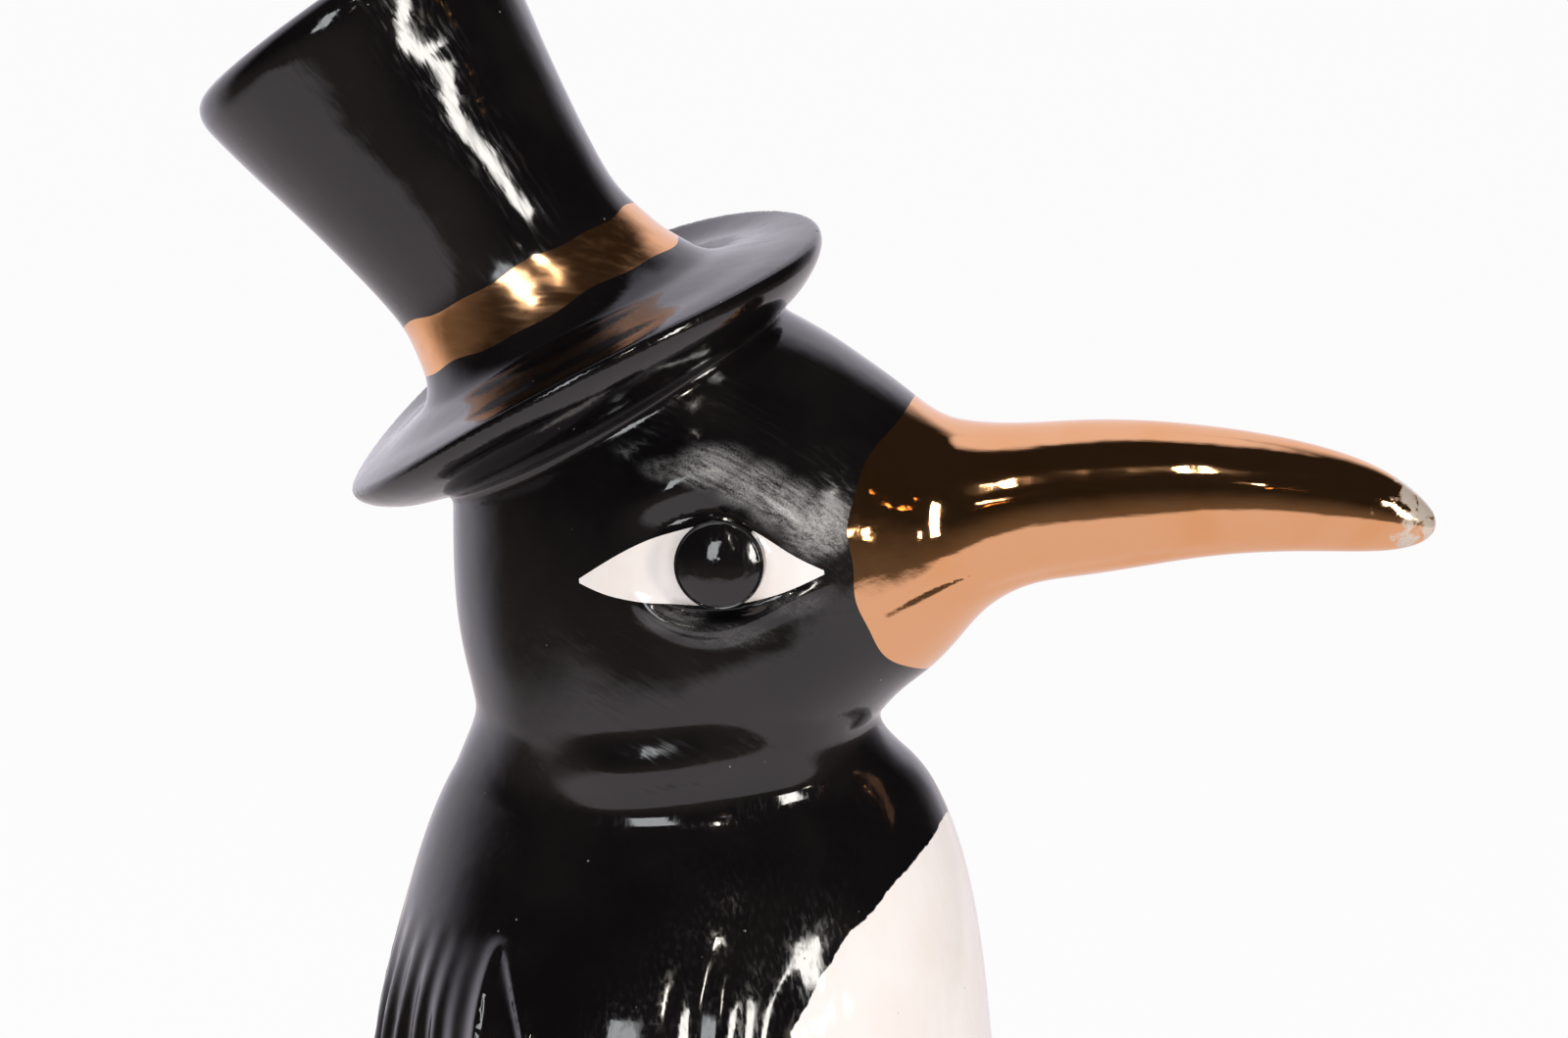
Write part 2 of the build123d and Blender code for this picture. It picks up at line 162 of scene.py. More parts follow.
class OvalStack:
    """The outer form of a casting that is lofted through oval slices."""

    def __init__(self, slices: Sequence[Oval]) -> None:
        """Fit smooth lines through the slices' middles, depths and widths."""
        self.start = slices[0].level
        self.end = slices[-1].level
        self.middle = Curve(*[(s.level, s.shift) for s in slices])
        self.half_depth = Curve(*[(s.level, s.depth / 2) for s in slices])
        self.half_width = Curve(*[(s.level, s.width / 2) for s in slices])

    def __call__(self, along: Array, across: Array, sideways: Array) -> Array:
        """Return a distance to the form: negative inside, true near the surface.

        Args:
            along: place along the stack.
            across: place in the direction of the slices' depth.
            sideways: place in the direction of the slices' width.

        Returns:
            The distance, in millimetres.
        """
        depth = self.half_depth(along)
        width = self.half_width(along)
        offset = across - self.middle(along)
        reach = np.sqrt((offset / depth) ** 2 + (sideways / width) ** 2) + 1e-6
        steepness = np.sqrt((offset / depth**2) ** 2 + (sideways / width**2) ** 2) + 1e-6
        return (reach - 1) * reach / steepness


@dataclass
class BodyCasting:
    """The hollow body, from the foot rim to the neck."""

    slices: tuple[Oval, ...] = (
        Oval(1, 0, 68, 66),
        Oval(20, -0.6, 80, 78),
        Oval(42, -1, 87.5, 85),
        Oval(70, -1, 91, 88),
        Oval(98, -0.8, 89, 84.5),
        Oval(122, -0.1, 84, 77.5),
        Oval(140, 0.6, 76.8, 67),
        Oval(151, 0.7, 69, 52),
        Oval(158, 0.2, 59, 39.5),
        Oval(164, -1.5, 42, 28),
    )
    foot_rounding: float = 3.0
    base_depth: float = 63.0
    base_width: float = 61.0
    feather_depth: float = 0.55
    feather_pitch: float = 4.6

    def __post_init__(self) -> None:
        """Work out the smooth form once."""
        self.stack = OvalStack(self.slices)

    def feathers(self, x: Array, y: Array, z: Array) -> Array:
        """Long feather furrows that run down the back.

        Returns:
            How far the surface rises or sinks, in millimetres.
        """
        round_back = np.abs(np.arctan2(y, -x)) * 38
        waver = 0.9 * np.sin(z / 9.0) + 1.1 * np.sin(round_back / 7.0 + z / 17.0)
        furrow = np.cos(2 * math.pi * (round_back + waver) / self.feather_pitch)
        place = ramp(-x, 20, 34) * ramp(z, 14, 40) * ramp(-z, -139, -120)
        return self.feather_depth * furrow * place

    def form(self, x: Array, y: Array, z: Array) -> Array:
        """Return the distance to the body's outer form."""
        flank = self.stack(z, x, y) - self.feathers(x, y, z)
        ends = np.maximum(self.slices[0].level - z, z - self.slices[-1].level)
        return smooth_max(flank, ends, self.foot_rounding)

    def outside_base(self, x: Array, y: Array, z: Array) -> Array:
        """Positive outside the rebate that the base disc fills."""
        oval = np.hypot(2 * x / self.base_depth, 2 * y / self.base_width) - 1
        return np.maximum(oval * self.base_width / 2, z - 4)


@dataclass
class Eye:
    """Lids, white and pupil of one eye; both eyes are alike."""

    ball_forward: float = 6.8
    ball_level: float = 188.0
    ball_radius: float = 8.3
    ball_flatness: float = 1.3
    ball_height: float = 2.5
    lid_crease: float = 0.5
    brow: Curve = field(
        default_factory=lambda: Curve(
            (-6, 195.5), (2.8, 198.8), (6.7, 199.7), (10.6, 198.4), (15.9, 194.9), (21.3, 191.8)
        )
    )
    brow_height: float = 2.2
    brow_half_width: float = 4.2
    lower_lid: Curve = field(
        default_factory=lambda: Curve(
            (-4, 183.2), (1, 180.4), (6.7, 179.2), (11.2, 180.2), (14.5, 181.8), (22.4, 184.9)
        )
    )
    lower_lid_height: float = 1.0
    pocket_depth: float = 0.9
    pocket_drop: float = 0.7
    upper_edge: Curve = field(
        default_factory=lambda: Curve(
            (-11.3, 185.0), (-2.4, 190.5), (3.4, 192.6), (7.9, 193.4), (12.6, 192.1), (16, 189.8), (21.8, 186.4)
        )
    )
    lower_edge: Curve = field(
        default_factory=lambda: Curve(
            (-11.3, 185.0), (-7.2, 183.5), (-2.5, 182.8), (4.5, 182.5), (11.5, 182.8), (16, 184.0), (21.8, 186.4)
        )
    )
    pupil_forward: float = 8.1
    pupil_level: float = 188.2
    pupil_radius: float = 5.9
    pupil_height: float = 1.9
    pupil_drop: float = 1.9
    pupil_seat: float = 3.0

    def relief(self, x: Array, y: Array, z: Array) -> Array:
        """How far lids and brow stand out of the egg of the head, in millimetres."""
        radius = (self.ball_radius**2 + self.ball_height**2) / (2 * self.ball_height)
        away = (x - self.ball_forward) ** 2 + (self.ball_flatness * (z - self.ball_level)) ** 2
        cap = np.sqrt(np.maximum(radius**2 - away, 0)) - (radius - self.ball_height)
        ball = smooth_max(cap, np.zeros_like(cap), self.lid_crease)
        brow = self.brow_height * ridge(z - self.brow(x), self.brow_half_width)
        brow = brow * ramp(x, -8, 2) * ramp(-x, -26, -12)
        lid = self.lower_lid_height * ridge(z - self.lower_lid(x), 1.3)
        lid = lid * ramp(x, -5, 1) * ramp(-x, -24, -15)
        pocket = self.pocket_depth * ridge(z - self.lower_edge(x) + self.pocket_drop, 0.9)
        pocket = pocket * ramp(x, -2, 4) * ramp(-x, -17, -12)
        return (ball + brow + lid - pocket) * ramp(np.abs(y), 8, 15)

    def inside(self, side: Side) -> Form:
        """Return a form that is positive within the white of the eye on that side."""

        def almond(x: Array, y: Array, z: Array) -> Array:
            gap = np.minimum(self.upper_edge(x) - z, z - self.lower_edge(x))
            ends = np.minimum(x - self.upper_edge.places[0], self.upper_edge.places[-1] - x)
            return np.minimum(np.minimum(gap, ends), side.value * y - 5)

        return almond


@dataclass
class HeadCasting:
    """The hollow head, without beak and hat."""

    slices: tuple[Oval, ...] = (
        Oval(148, -2, 26, 24),
        Oval(154.5, -2.5, 46, 42),
        Oval(162, -1.2, 54.6, 49.8),
        Oval(172, 1.7, 64.6, 53),
        Oval(188, 1.5, 66.4, 53),
        Oval(201, 1.1, 63, 48.5),
        Oval(209, 0.1, 54.2, 42),
        Oval(216.3, -2.1, 37.6, 31),
        Oval(221, -3.3, 21.6, 18),
    )
    jaw: Curve = field(
        default_factory=lambda: Curve((-17, 164), (-9, 165), (0, 166.2), (8, 167.2), (17.6, 166.4), (26.5, 165.6))
    )
    jaw_swell: float = 2.1
    jaw_drop: float = 7.5
    eye: Eye = field(default_factory=Eye)

    def __post_init__(self) -> None:
        """Work out the smooth form once."""
        self.stack = OvalStack(self.slices)

    def form(self, x: Array, y: Array, z: Array) -> Array:
        """Return the distance to the egg of the head with its lids and its jaw line."""
        below = self.jaw(x) - z
        roll = self.jaw_swell * ramp(below, 0, self.jaw_drop) * (1 - 0.2 * ramp(below, 7.5, 11.5))
        roll = roll * ramp(np.abs(y), 6, 14) * ramp(x, -18, -6) * ramp(-x, -31, -19)
        egg = self.stack(z, x, y) - self.eye.relief(x, y, z) - roll
        ends = np.maximum(self.slices[0].level - z, z - self.slices[-1].level)
        return smooth_max(egg, ends, 2.0)


@dataclass
class BeakCasting:
    """The long gilded beak."""

    slices: tuple[Oval, ...] = (
        Oval(18, 188.5, 35, 44),
        Oval(27, 188.7, 36, 36),
        Oval(33.6, 187.7, 33.4, 29),
        Oval(41, 190.3, 25.6, 23.5),
        Oval(53.4, 193, 21.2, 19),
        Oval(69.2, 194.2, 18.1, 16),
        Oval(84.9, 193.6, 14.4, 12.5),
        Oval(94, 192.1, 11, 9.5),
        Oval(99, 190.9, 6.5, 6),
    )
    tip: float = 101.3
    tip_level: float = 190.4
    gilt_radius: float = 25.4
    gilt_forward: float = 49.6
    gilt_level: float = 189.4
    gilt_waver: float = 0.35
    mouth: Curve = field(
        default_factory=lambda: Curve((29, 180.3), (34.4, 182.8), (41, 185.2), (47.4, 187.1), (52, 187.9))
    )
    mouth_depth: float = 0.38
    mouth_half_width: float = 1.0
    jaw_line: Curve = field(
        default_factory=lambda: Curve((40, 181.4), (48.6, 183.5), (60.3, 185.8), (70.7, 187), (80, 187.4))
    )
    jaw_line_depth: float = 0.18

    def __post_init__(self) -> None:
        """Fit the slices over the square root of the way to the tip, which rounds the tip."""
        slices = [
            Oval(-math.sqrt(self.tip - s.level), s.shift, s.depth, s.width) for s in self.slices
        ]
        slices.append(Oval(0, self.tip_level, 0.2, 0.2))
        self.stack = OvalStack(slices)

    def grooves(self, x: Array, z: Array) -> Array:
        """How deep the mouth line and the jaw line are cut, in millimetres."""
        ends = ramp(x, 28, 29.6) * ramp(-x, -52, -45)
        mouth = self.mouth_depth * ends * ridge(z - self.mouth(x), self.mouth_half_width)
        jaw = self.jaw_line_depth * ridge(z - self.jaw_line(x), 0.8) * ramp(x, 38, 44) * ramp(-x, -82, -70)
        return mouth + jaw

    def form(self, x: Array, y: Array, z: Array) -> Array:
        """Return the distance to the beak's outer form."""
        to_tip = -np.sqrt(np.maximum(self.tip - x, 1e-4))
        cone = self.stack(to_tip, z, y) + self.grooves(x, z)
        ends = np.maximum(self.slices[0].level - 6 - x, x - self.tip)
        return np.maximum(cone, ends)

    def gilded(self, x: Array, y: Array, z: Array) -> Array:
        """Positive forward of the painted edge of the gilding."""
        turn = np.arctan2(z - self.gilt_level, x - self.gilt_forward)
        waver = self.gilt_waver * (np.sin(7 * turn + 0.6) + 0.6 * np.sin(17 * turn))
        disc = self.gilt_radius + waver - np.hypot(x - self.gilt_forward, z - self.gilt_level)
        front = np.minimum(x - self.gilt_forward, self.gilt_radius - np.abs(z - self.gilt_level))
        return np.maximum(disc, front)


@dataclass
class TopHat:
    """Brim, gilded band and crown; heights run along the hat's axis from the rim."""

    tilt: float = 28.4
    rim_forward: float = -14.2
    rim_level: float = 210.6
    brim_top: Curve = field(
        default_factory=lambda: Curve(
            (12, 13), (19.5, 8.2), (21.5, 6.0), (25.3, 4.1), (30.4, 2.6), (34, 1.7), (37, 0.6), (40, -0.8)
        )
    )
    brim_under: Curve = field(
        default_factory=lambda: Curve(
            (12, -14), (25.5, -7.2), (28, -6.3), (32.4, -4.6), (34.4, -3.4), (36.2, -1.9), (38, 0.6), (40, 4)
        )
    )
    lip_rounding: float = 2.2
    brim_roll: float = 0.14
    brim_curl: float = 5.3
    brim_radius: float = 36.6
    brim_forward: float = 0.8
    lean: float = 6.8
    crown_back: float = -0.65
    band_start: float = 9.1
    band_end: float = 16.3
    band_drop: float = 0.8
    band_waver: float = 0.28
    crown_radius: Curve = field(
        default_factory=lambda: Curve(
            (-8, 21.6), (0, 19.1), (3.5, 18.2), (7.2, 17.5), (12, 17.6), (18.5, 18.5), (29, 20.4), (42, 23), (52, 24.4)
        )
    )
    crown_height: float = 49.4
    top_rounding: float = 5.0
    foot_fillet: float = 2.2
    foot_reach: float = 26.0
    dents: tuple[tuple[float, float, float, float], ...] = (
        (-43.0, 247.0, 0.5, 7.5),
        (-30.5, 255.5, 0.7, 4.2),
        (-22.5, 247.0, 0.5, 4.5),
    )
    hollow: Stroke = field(
        default_factory=lambda: Stroke(
            -0.25, 4.0, (-37.5, 266), (-36.3, 257), (-33, 251), (-28.6, 246.4), (-20.5, 238.6), (-15.4, 231.6)
        )
    )

    def axes(self, x: Array, z: Array) -> tuple[Array, Array]:
        """Return how far forward and how high a point lies in the hat's own plane."""
        angle = math.radians(self.tilt)
        forward = (x - self.rim_forward) * math.cos(angle) + (z - self.rim_level) * math.sin(angle)
        height = -(x - self.rim_forward) * math.sin(angle) + (z - self.rim_level) * math.cos(angle)
        return forward, height

    def brim(self, x: Array, y: Array, z: Array) -> Array:
        """Return the distance to the brim, with its thick lip and its dished top."""
        forward, height = self.axes(x, z)
        radius = np.hypot(forward - self.brim_forward, y) + self.brim_forward
        outward = np.clip((radius - 18) / (self.brim_radius - 18), 0, 1.1)
        lift = outward * (self.brim_roll * y + self.brim_curl * (y / self.brim_radius) ** 2)
        top = (height - lift - self.brim_top(radius)) * 0.9
        under = (self.brim_under(radius) - height + lift) * 0.85
        steep = 1 + ramp(y, 5, 36)
        return smooth_max(top / steep, under / steep, self.lip_rounding)

    def crown(self, x: Array, y: Array, z: Array) -> Array:
        """Return the distance to the crown, with the shallow dents and the hollow of each flank."""
        forward, height = self.axes(x, z)
        lean = math.radians(self.lean)
        rise = height - self.band_start
        along = rise * math.cos(lean) - forward * math.sin(lean)
        across = forward * math.cos(lean) + rise * math.sin(lean) - self.crown_back
        flank = np.hypot(across, y) - self.crown_radius(along)
        relief = self.hollow(x, z)
        for dent_forward, dent_level, depth, reach in self.dents:
            relief = relief - depth * ridge(np.hypot(x - dent_forward, z - dent_level), reach)
        flank = flank - relief * ramp(np.abs(y), 6, 13)
        return smooth_max(flank, np.maximum(along - self.crown_height, -8 - along), self.top_rounding)

    def form(self, x: Array, y: Array, z: Array) -> Array:
        """Return the distance to brim and crown in one."""
        return smooth_min(self.brim(x, y, z), self.crown(x, y, z), self.foot_fillet)

    def brim_side(self, over_foot: Form) -> Form:
        """Return a form that is positive on the brim: below the band, or well outside the crown."""

        def outside(x: Array, y: Array, z: Array) -> Array:
            forward, _ = self.axes(x, z)
            return np.maximum(-over_foot(x, y, z), np.hypot(forward, y) - self.foot_reach)

        return outside

    def above(self, edge: float, phase: float) -> Form:
        """Return a form that is positive above a painted edge of the band."""

        def over(x: Array, y: Array, z: Array) -> Array:
            forward, height = self.axes(x, z)
            turn = np.arctan2(y, forward)
            waver = np.sin(5 * turn + phase) + 0.6 * np.sin(11 * turn + 2 * phase)
            return height - edge + self.band_drop - self.band_waver * waver

        return over


@dataclass
class Flippers:
    """The pair of wings that lie against the flanks."""

    leading_edge: Stroke = field(
        default_factory=lambda: Stroke(
            0.6, 3.1, (16.5, 139.6), (13.6, 141.4), (11.4, 140.4), (10.4, 135), (9.8, 127), (8.7, 112), (4.5, 92)
        )
    )
    second_edge: Stroke = field(
        default_factory=lambda: Stroke(0.5, 1.9, (19, 138.6), (18, 136.4), (16.6, 133.6), (15.6, 129.6), (15, 122))
    )
    hollow: Stroke = field(
        default_factory=lambda: Stroke(-0.8, 2.2, (7.6, 138), (6.6, 132), (6.2, 125), (5, 112))
    )
    feather_tip: Stroke = field(
        default_factory=lambda: Stroke(
            0.9, 0.9, (-24.5, 112), (-24, 124), (-23.2, 131), (-21.8, 136), (-20, 136.6), (-18.2, 132.6), (-16, 126), (-14.5, 116)
        )
    )
    slices: tuple[Oval, ...] = (
        Oval(54, -13, 16, 82),
        Oval(62, -11, 36, 94),
        Oval(76, -8, 54, 99),
        Oval(95, -5, 64, 98),
        Oval(118, -3, 68, 90),
        Oval(136, -2, 60, 75),
        Oval(146, -1, 32, 58),
    )

    def __post_init__(self) -> None:
        """Work out the smooth form once."""
        self.stack = OvalStack(self.slices)

    def relief(self, x: Array, y: Array, z: Array) -> Array:
        """How far the edges and feathers of the wings stand out, in millimetres."""
        edges = self.leading_edge(x, z) + self.second_edge(x, z) + self.hollow(x, z) + self.feather_tip(x, z)
        return edges * ramp(np.abs(y), 20, 27)

    def form(self, x: Array, y: Array, z: Array) -> Array:
        """Return the distance to the pair of blades."""
        blades = self.stack(z, x, y) - self.relief(x, y, z)
        ends = np.maximum(self.slices[0].level - z, z - self.slices[-1].level)
        return smooth_max(blades, ends, 6.0)


@dataclass
class Feet:
    """Two webbed feet with three toes each."""

    spacing: float = 34.0
    heel_forward: float = 20.0
    floor: float = 1.0
    toe_length: float = 36.0
    toe_spread: float = 17.0
    toe_height: Curve = field(
        default_factory=lambda: Curve((-6, 9), (0, 12), (12, 10.6), (24, 8.5), (32, 4.9), (36, 1.6))
    )
    toe_half_width: Curve = field(
        default_factory=lambda: Curve((-6, 3), (0, 6), (12, 5.8), (24, 5.2), (32, 3.4), (36, 1.5))
    )
    web_height: float = 3.2
    web_reach: float = 30.0

    def form(self, x: Array, y: Array, z: Array) -> Array:
        """Return the distance to both feet."""
        side = np.abs(y) - self.spacing / 2
        forward = x - self.heel_forward
        up = z - self.floor
        foot = None
        for turn in (-self.toe_spread, 0.0, self.toe_spread):
            angle = math.radians(turn)
            along = forward * math.cos(angle) + side * math.sin(angle)
            across = side * math.cos(angle) - forward * math.sin(angle)
            height = self.toe_height(along)
            width = self.toe_half_width(along)
            reach = np.sqrt((up / height) ** 2 + (across / width) ** 2) + 1e-6
            steep = np.sqrt((up / height**2) ** 2 + (across / width**2) ** 2) + 1e-6
            toe = (reach - 1) * reach / steep
            toe = smooth_max(toe, np.abs(along - 15) - 21, 1.5)
            foot = toe if foot is None else smooth_min(foot, toe, 1.5)
        fan = np.abs(side) - 3.5 - np.maximum(forward, 0) * math.tan(math.radians(self.toe_spread))
        web = np.maximum(np.maximum(fan, np.hypot(forward, side) - self.web_reach), -forward)
        web = smooth_max(web, up - self.web_height, 1.5)
        return smooth_max(smooth_min(foot, web, 2.0), -up, 1.0)


@dataclass
class Tail:
    """The flat wedge of tail feathers behind."""

    slices: tuple[Oval, ...] = (
        Oval(28, 32, 36, 38),
        Oval(46, 19, 18, 32),
        Oval(58, 11, 9, 25),
        Oval(64.5, 7.3, 3.4, 15),
    )
    feather_depth: float = 0.5
    feather_pitch: float = 5.2

    def __post_init__(self) -> None:
        """Work out the smooth form once."""
        self.stack = OvalStack(self.slices)

    def form(self, x: Array, y: Array, z: Array) -> Array:
        """Return the distance to the tail."""
        furrow = np.cos(2 * math.pi * y / (self.feather_pitch * (1 - 0.006 * (x + 28))))
        wedge = self.stack(-x, z, y) - self.feather_depth * furrow * ramp(-x, 44, 54)
        return smooth_max(wedge, np.maximum(self.slices[0].level + x, -x - self.slices[-1].level), 2.5)


class Mesh:
    """Points, their normals and the faces between them, in millimetres."""

    def __init__(self, points: Array, quads: Array, triangles: Array) -> None:
        """Keep the points and faces of one piece."""
        self.points = points
        self.quads = quads
        self.triangles = triangles

    def prune(self) -> "Mesh":
        """Return the mesh without the points that no face uses."""
        used = np.zeros(len(self.points), bool)
        used[self.quads.ravel()] = True
        used[self.triangles.ravel()] = True
        place = np.cumsum(used) - 1
        return Mesh(self.points[used], place[self.quads], place[self.triangles])


class Sculptor:
    """Turns a form into closed, evenly meshed pieces that meet along exact borders."""

    def __init__(self, form: Form, step: float) -> None:
        """Keep the form that is cut out and the size of a face.

        Args:
            form: distance to the surface, negative inside.
            step: edge length of the faces, in millimetres.
        """
        self.form = form
        self.step = step

    def slope(self, form: Form, points: Array) -> Array:
        """Return the gradient of a form at some points."""
        reach = 0.04
        columns = []
        for axis in range(3):
            shift = np.zeros(3)
            shift[axis] = reach
            ahead = form(*(points + shift).T)
            behind = form(*(points - shift).T)
            columns.append((ahead - behind) / (2 * reach))
        return np.stack(columns, axis=1)

    def settle(self, points: Array, form: Form, rounds: int = 2) -> Array:
        """Move points onto the zero surface of a form."""
        for _ in range(rounds):
            slope = self.slope(form, points)
            steep = np.maximum((slope**2).sum(1), 1e-3)
            move = form(*points.T) / steep
            limit = self.step / np.sqrt(steep)
            points = points - slope * np.clip(move, -limit, limit)[:, None]
        return points

    def surface(self, low: Sequence[float], high: Sequence[float]) -> Mesh:
        """Mesh the surface within a box with one point in each crossed cell.

        Args:
            low: lowest corner of the box.
            high: highest corner of the box.

        Returns:
            An open or closed mesh of quads, wound outwards.
        """
        axes = [np.arange(a, b + self.step, self.step) for a, b in zip(low, high)]
        grids = np.meshgrid(*axes, indexing="ij", sparse=True)
        shape = tuple(len(a) for a in axes)
        values = np.broadcast_to(self.form(*grids), shape)
        inside = values < 0
        cells = tuple(n - 1 for n in shape)
        count = np.zeros(cells, np.int8)
        for corner in np.ndindex(2, 2, 2):
            part = tuple(slice(c, c + n) for c, n in zip(corner, cells))
            count += inside[part]
        crossed = (count > 0) & (count < 8)
        names = np.full(cells, -1, np.int64)
        names[crossed] = np.arange(crossed.sum())
        place = np.argwhere(crossed)
        total = np.zeros((len(place), 3))
        hits = np.zeros(len(place))
        for axis in range(3):
            unit = np.eye(3, dtype=int)[axis]
            others = [a for a in range(3) if a != axis]
            for pair in np.ndindex(2, 2):
                offset = np.zeros(3, int)
                offset[others] = pair
                start = place + offset
                first = values[tuple(start.T)]
                last = values[tuple((start + unit).T)]
                cut = (first < 0) != (last < 0)
                share = first[cut] / (first[cut] - last[cut])
                total[cut] += start[cut] + share[:, None] * unit
                hits[cut] += 1
        points = np.array(low) + self.step * total / hits[:, None]
        quads = [self._facing(inside, names, axis) for axis in range(3)]
        return Mesh(self.settle(points, self.form), np.concatenate(quads), np.zeros((0, 3), int))

    def _facing(self, inside: Array, names: Array, axis: int) -> Array:
        """Return the quads that cross grid edges along one axis."""
        second = (axis + 1) % 3
        third = (axis + 2) % 3
        ahead = np.take(inside, range(1, inside.shape[axis]), axis)
        behind = np.take(inside, range(inside.shape[axis] - 1), axis)
        edge = np.argwhere(ahead != behind)
        keep = np.ones(len(edge), bool)
        for other in (second, third):
            keep &= (edge[:, other] > 0) & (edge[:, other] < inside.shape[other] - 1)
        edge = edge[keep]
        unit = np.eye(3, dtype=int)
        ring = [edge - unit[second] - unit[third], edge - unit[third], edge, edge - unit[second]]
        quads = np.stack([names[tuple(corner.T)] for corner in ring], axis=1)
        flip = ~behind[tuple(edge.T)]
        quads[flip] = quads[flip][:, ::-1]
        return quads

    def trim(self, mesh: Mesh, keep: Form) -> Mesh:
        """Cut a mesh along the border where a form is zero and keep its positive side.

        Args:
            mesh: the mesh to cut.
            keep: positive on the side to keep.

        Returns:
            The kept part, with border points on both the surface and the border.
        """
        points = mesh.points
        worth = keep(*points.T)
        steep = np.sqrt((self.slope(keep, points) ** 2).sum(1)) + 1e-6
        close = np.abs(worth) / steep < 0.3 * self.step
        points = points.copy()
        points[close] = self._to_border(points[close], keep)
        worth = np.where(close, 0, worth)
        quad_low = worth[mesh.quads].min(1)
        quad_high = worth[mesh.quads].max(1)
        whole = mesh.quads[(quad_low >= 0) & (quad_high > 0)]
        mixed = mesh.quads[(quad_low < 0) & (quad_high > 0)]
        loose = np.concatenate([mesh.triangles, mixed[:, [0, 1, 2]], mixed[:, [0, 2, 3]]])
        low = worth[loose].min(1)
        high = worth[loose].max(1)
        kept = [loose[(low >= 0) & (high > 0)]]
        cut = loose[(low < 0) & (high > 0)]
        pairs = {}
        made = []
        for corners in cut:
            kept.append(self._cut_triangle(corners, worth, pairs, len(points)))
        if pairs:
            ends = np.array(list(pairs))
            share = worth[ends[:, 0]] / (worth[ends[:, 0]] - worth[ends[:, 1]])
            fresh = points[ends[:, 0]] + share[:, None] * (points[ends[:, 1]] - points[ends[:, 0]])
            made.append(self._to_border(fresh, keep))
        points = np.concatenate([points, *made])
        return Mesh(points, whole, np.concatenate(kept)).prune()

    @staticmethod
    def _cut_triangle(corners: Array, worth: Array, pairs: dict, first: int) -> Array:
        """Return the triangles left of one that the border crosses."""
        outline = []
        for here, there in zip(corners, np.roll(corners, -1)):
            if worth[here] >= 0:
                outline.append(here)
            if worth[here] * worth[there] < 0:
                key = (min(here, there), max(here, there))
                outline.append(first + pairs.setdefault(key, len(pairs)))
        fans = [(outline[0], a, b) for a, b in zip(outline[1:], outline[2:])]
        return np.array(fans, int).reshape(-1, 3)

    def _to_border(self, points: Array, keep: Form) -> Array:
        """Move points onto the surface and the border at once."""
        for _ in range(3):
            points = self.settle(points, keep, 1)
            points = self.settle(points, self.form, 1)
        return points

    def close(self, mesh: Mesh, wall: float) -> tuple[Mesh, Array]:
        """Give a mesh a wall, so that it is a closed casting.

        Args:
            mesh: the outer skin.
            wall: thickness of the clay, in millimetres.

        Returns:
            The closed mesh and the normals of its points.
        """
        slope = self.slope(self.form, mesh.points)
        normals = slope / np.maximum(np.linalg.norm(slope, axis=1), 1e-6)[:, None]
        count = len(mesh.points)
        edges = np.concatenate(
            [mesh.quads[:, [i, (i + 1) % 4]] for i in range(4)]
            + [mesh.triangles[:, [i, (i + 1) % 3]] for i in range(3)]
        )
        forward = edges[:, 0] * count + edges[:, 1]
        backward = edges[:, 1] * count + edges[:, 0]
        border = edges[~np.isin(forward, backward)]
        rim = np.stack([border[:, 1], border[:, 0], border[:, 0] + count, border[:, 1] + count], axis=1)
        if len(border) == 0:
            return mesh, normals
        points = np.concatenate([mesh.points, mesh.points - wall * normals])
        quads = np.concatenate([mesh.quads, mesh.quads[:, ::-1] + count, rim])
        triangles = np.concatenate([mesh.triangles, mesh.triangles[:, ::-1] + count])
        return Mesh(points, quads, triangles), np.concatenate([normals, -normals])

    def carve(self, low: Sequence[float], high: Sequence[float], keeps: Sequence[Form], wall: float) -> tuple[Mesh, Array]:
        """Mesh, trim and close one piece.

        Args:
            low: lowest corner of the box that holds the piece.
            high: highest corner of that box.
            keeps: forms that are positive on the piece.
            wall: thickness of the clay.

        Returns:
            The closed mesh and the normals of its points.
        """
        mesh = self.surface(low, high)
        for keep in keeps:
            mesh = self.trim(mesh, keep)
        return self.close(mesh, wall)


def make_object(name: str, mesh: Mesh, normals: Array) -> bpy.types.Object:
    """Turn a mesh into a Blender object in metres, with its own normals.

    Args:
        name: name of the piece.
        mesh: points and faces, in millimetres.
        normals: one normal for each point.

    Returns:
        The new object, linked to the scene.
    """
    data = bpy.data.meshes.new(name)
    faces = mesh.quads.tolist() + mesh.triangles.tolist()
    data.from_pydata((mesh.points * MM).tolist(), [], faces)
    data.polygons.foreach_set("use_smooth", np.ones(len(data.polygons), bool))
    data.normals_split_custom_set_from_vertices(normals.tolist())
    data.update()
    piece = bpy.data.objects.new(name, data)
    bpy.context.scene.collection.objects.link(piece)
    return piece


def negative(form: Form) -> Form:
    """Return a form with its sides exchanged."""
    return lambda x, y, z: -form(x, y, z)


def on_side(side: Side) -> Form:
    """Return a form that is positive on one side of the figure."""
    return lambda x, y, z: side.value * y + 0 * x + 0 * z


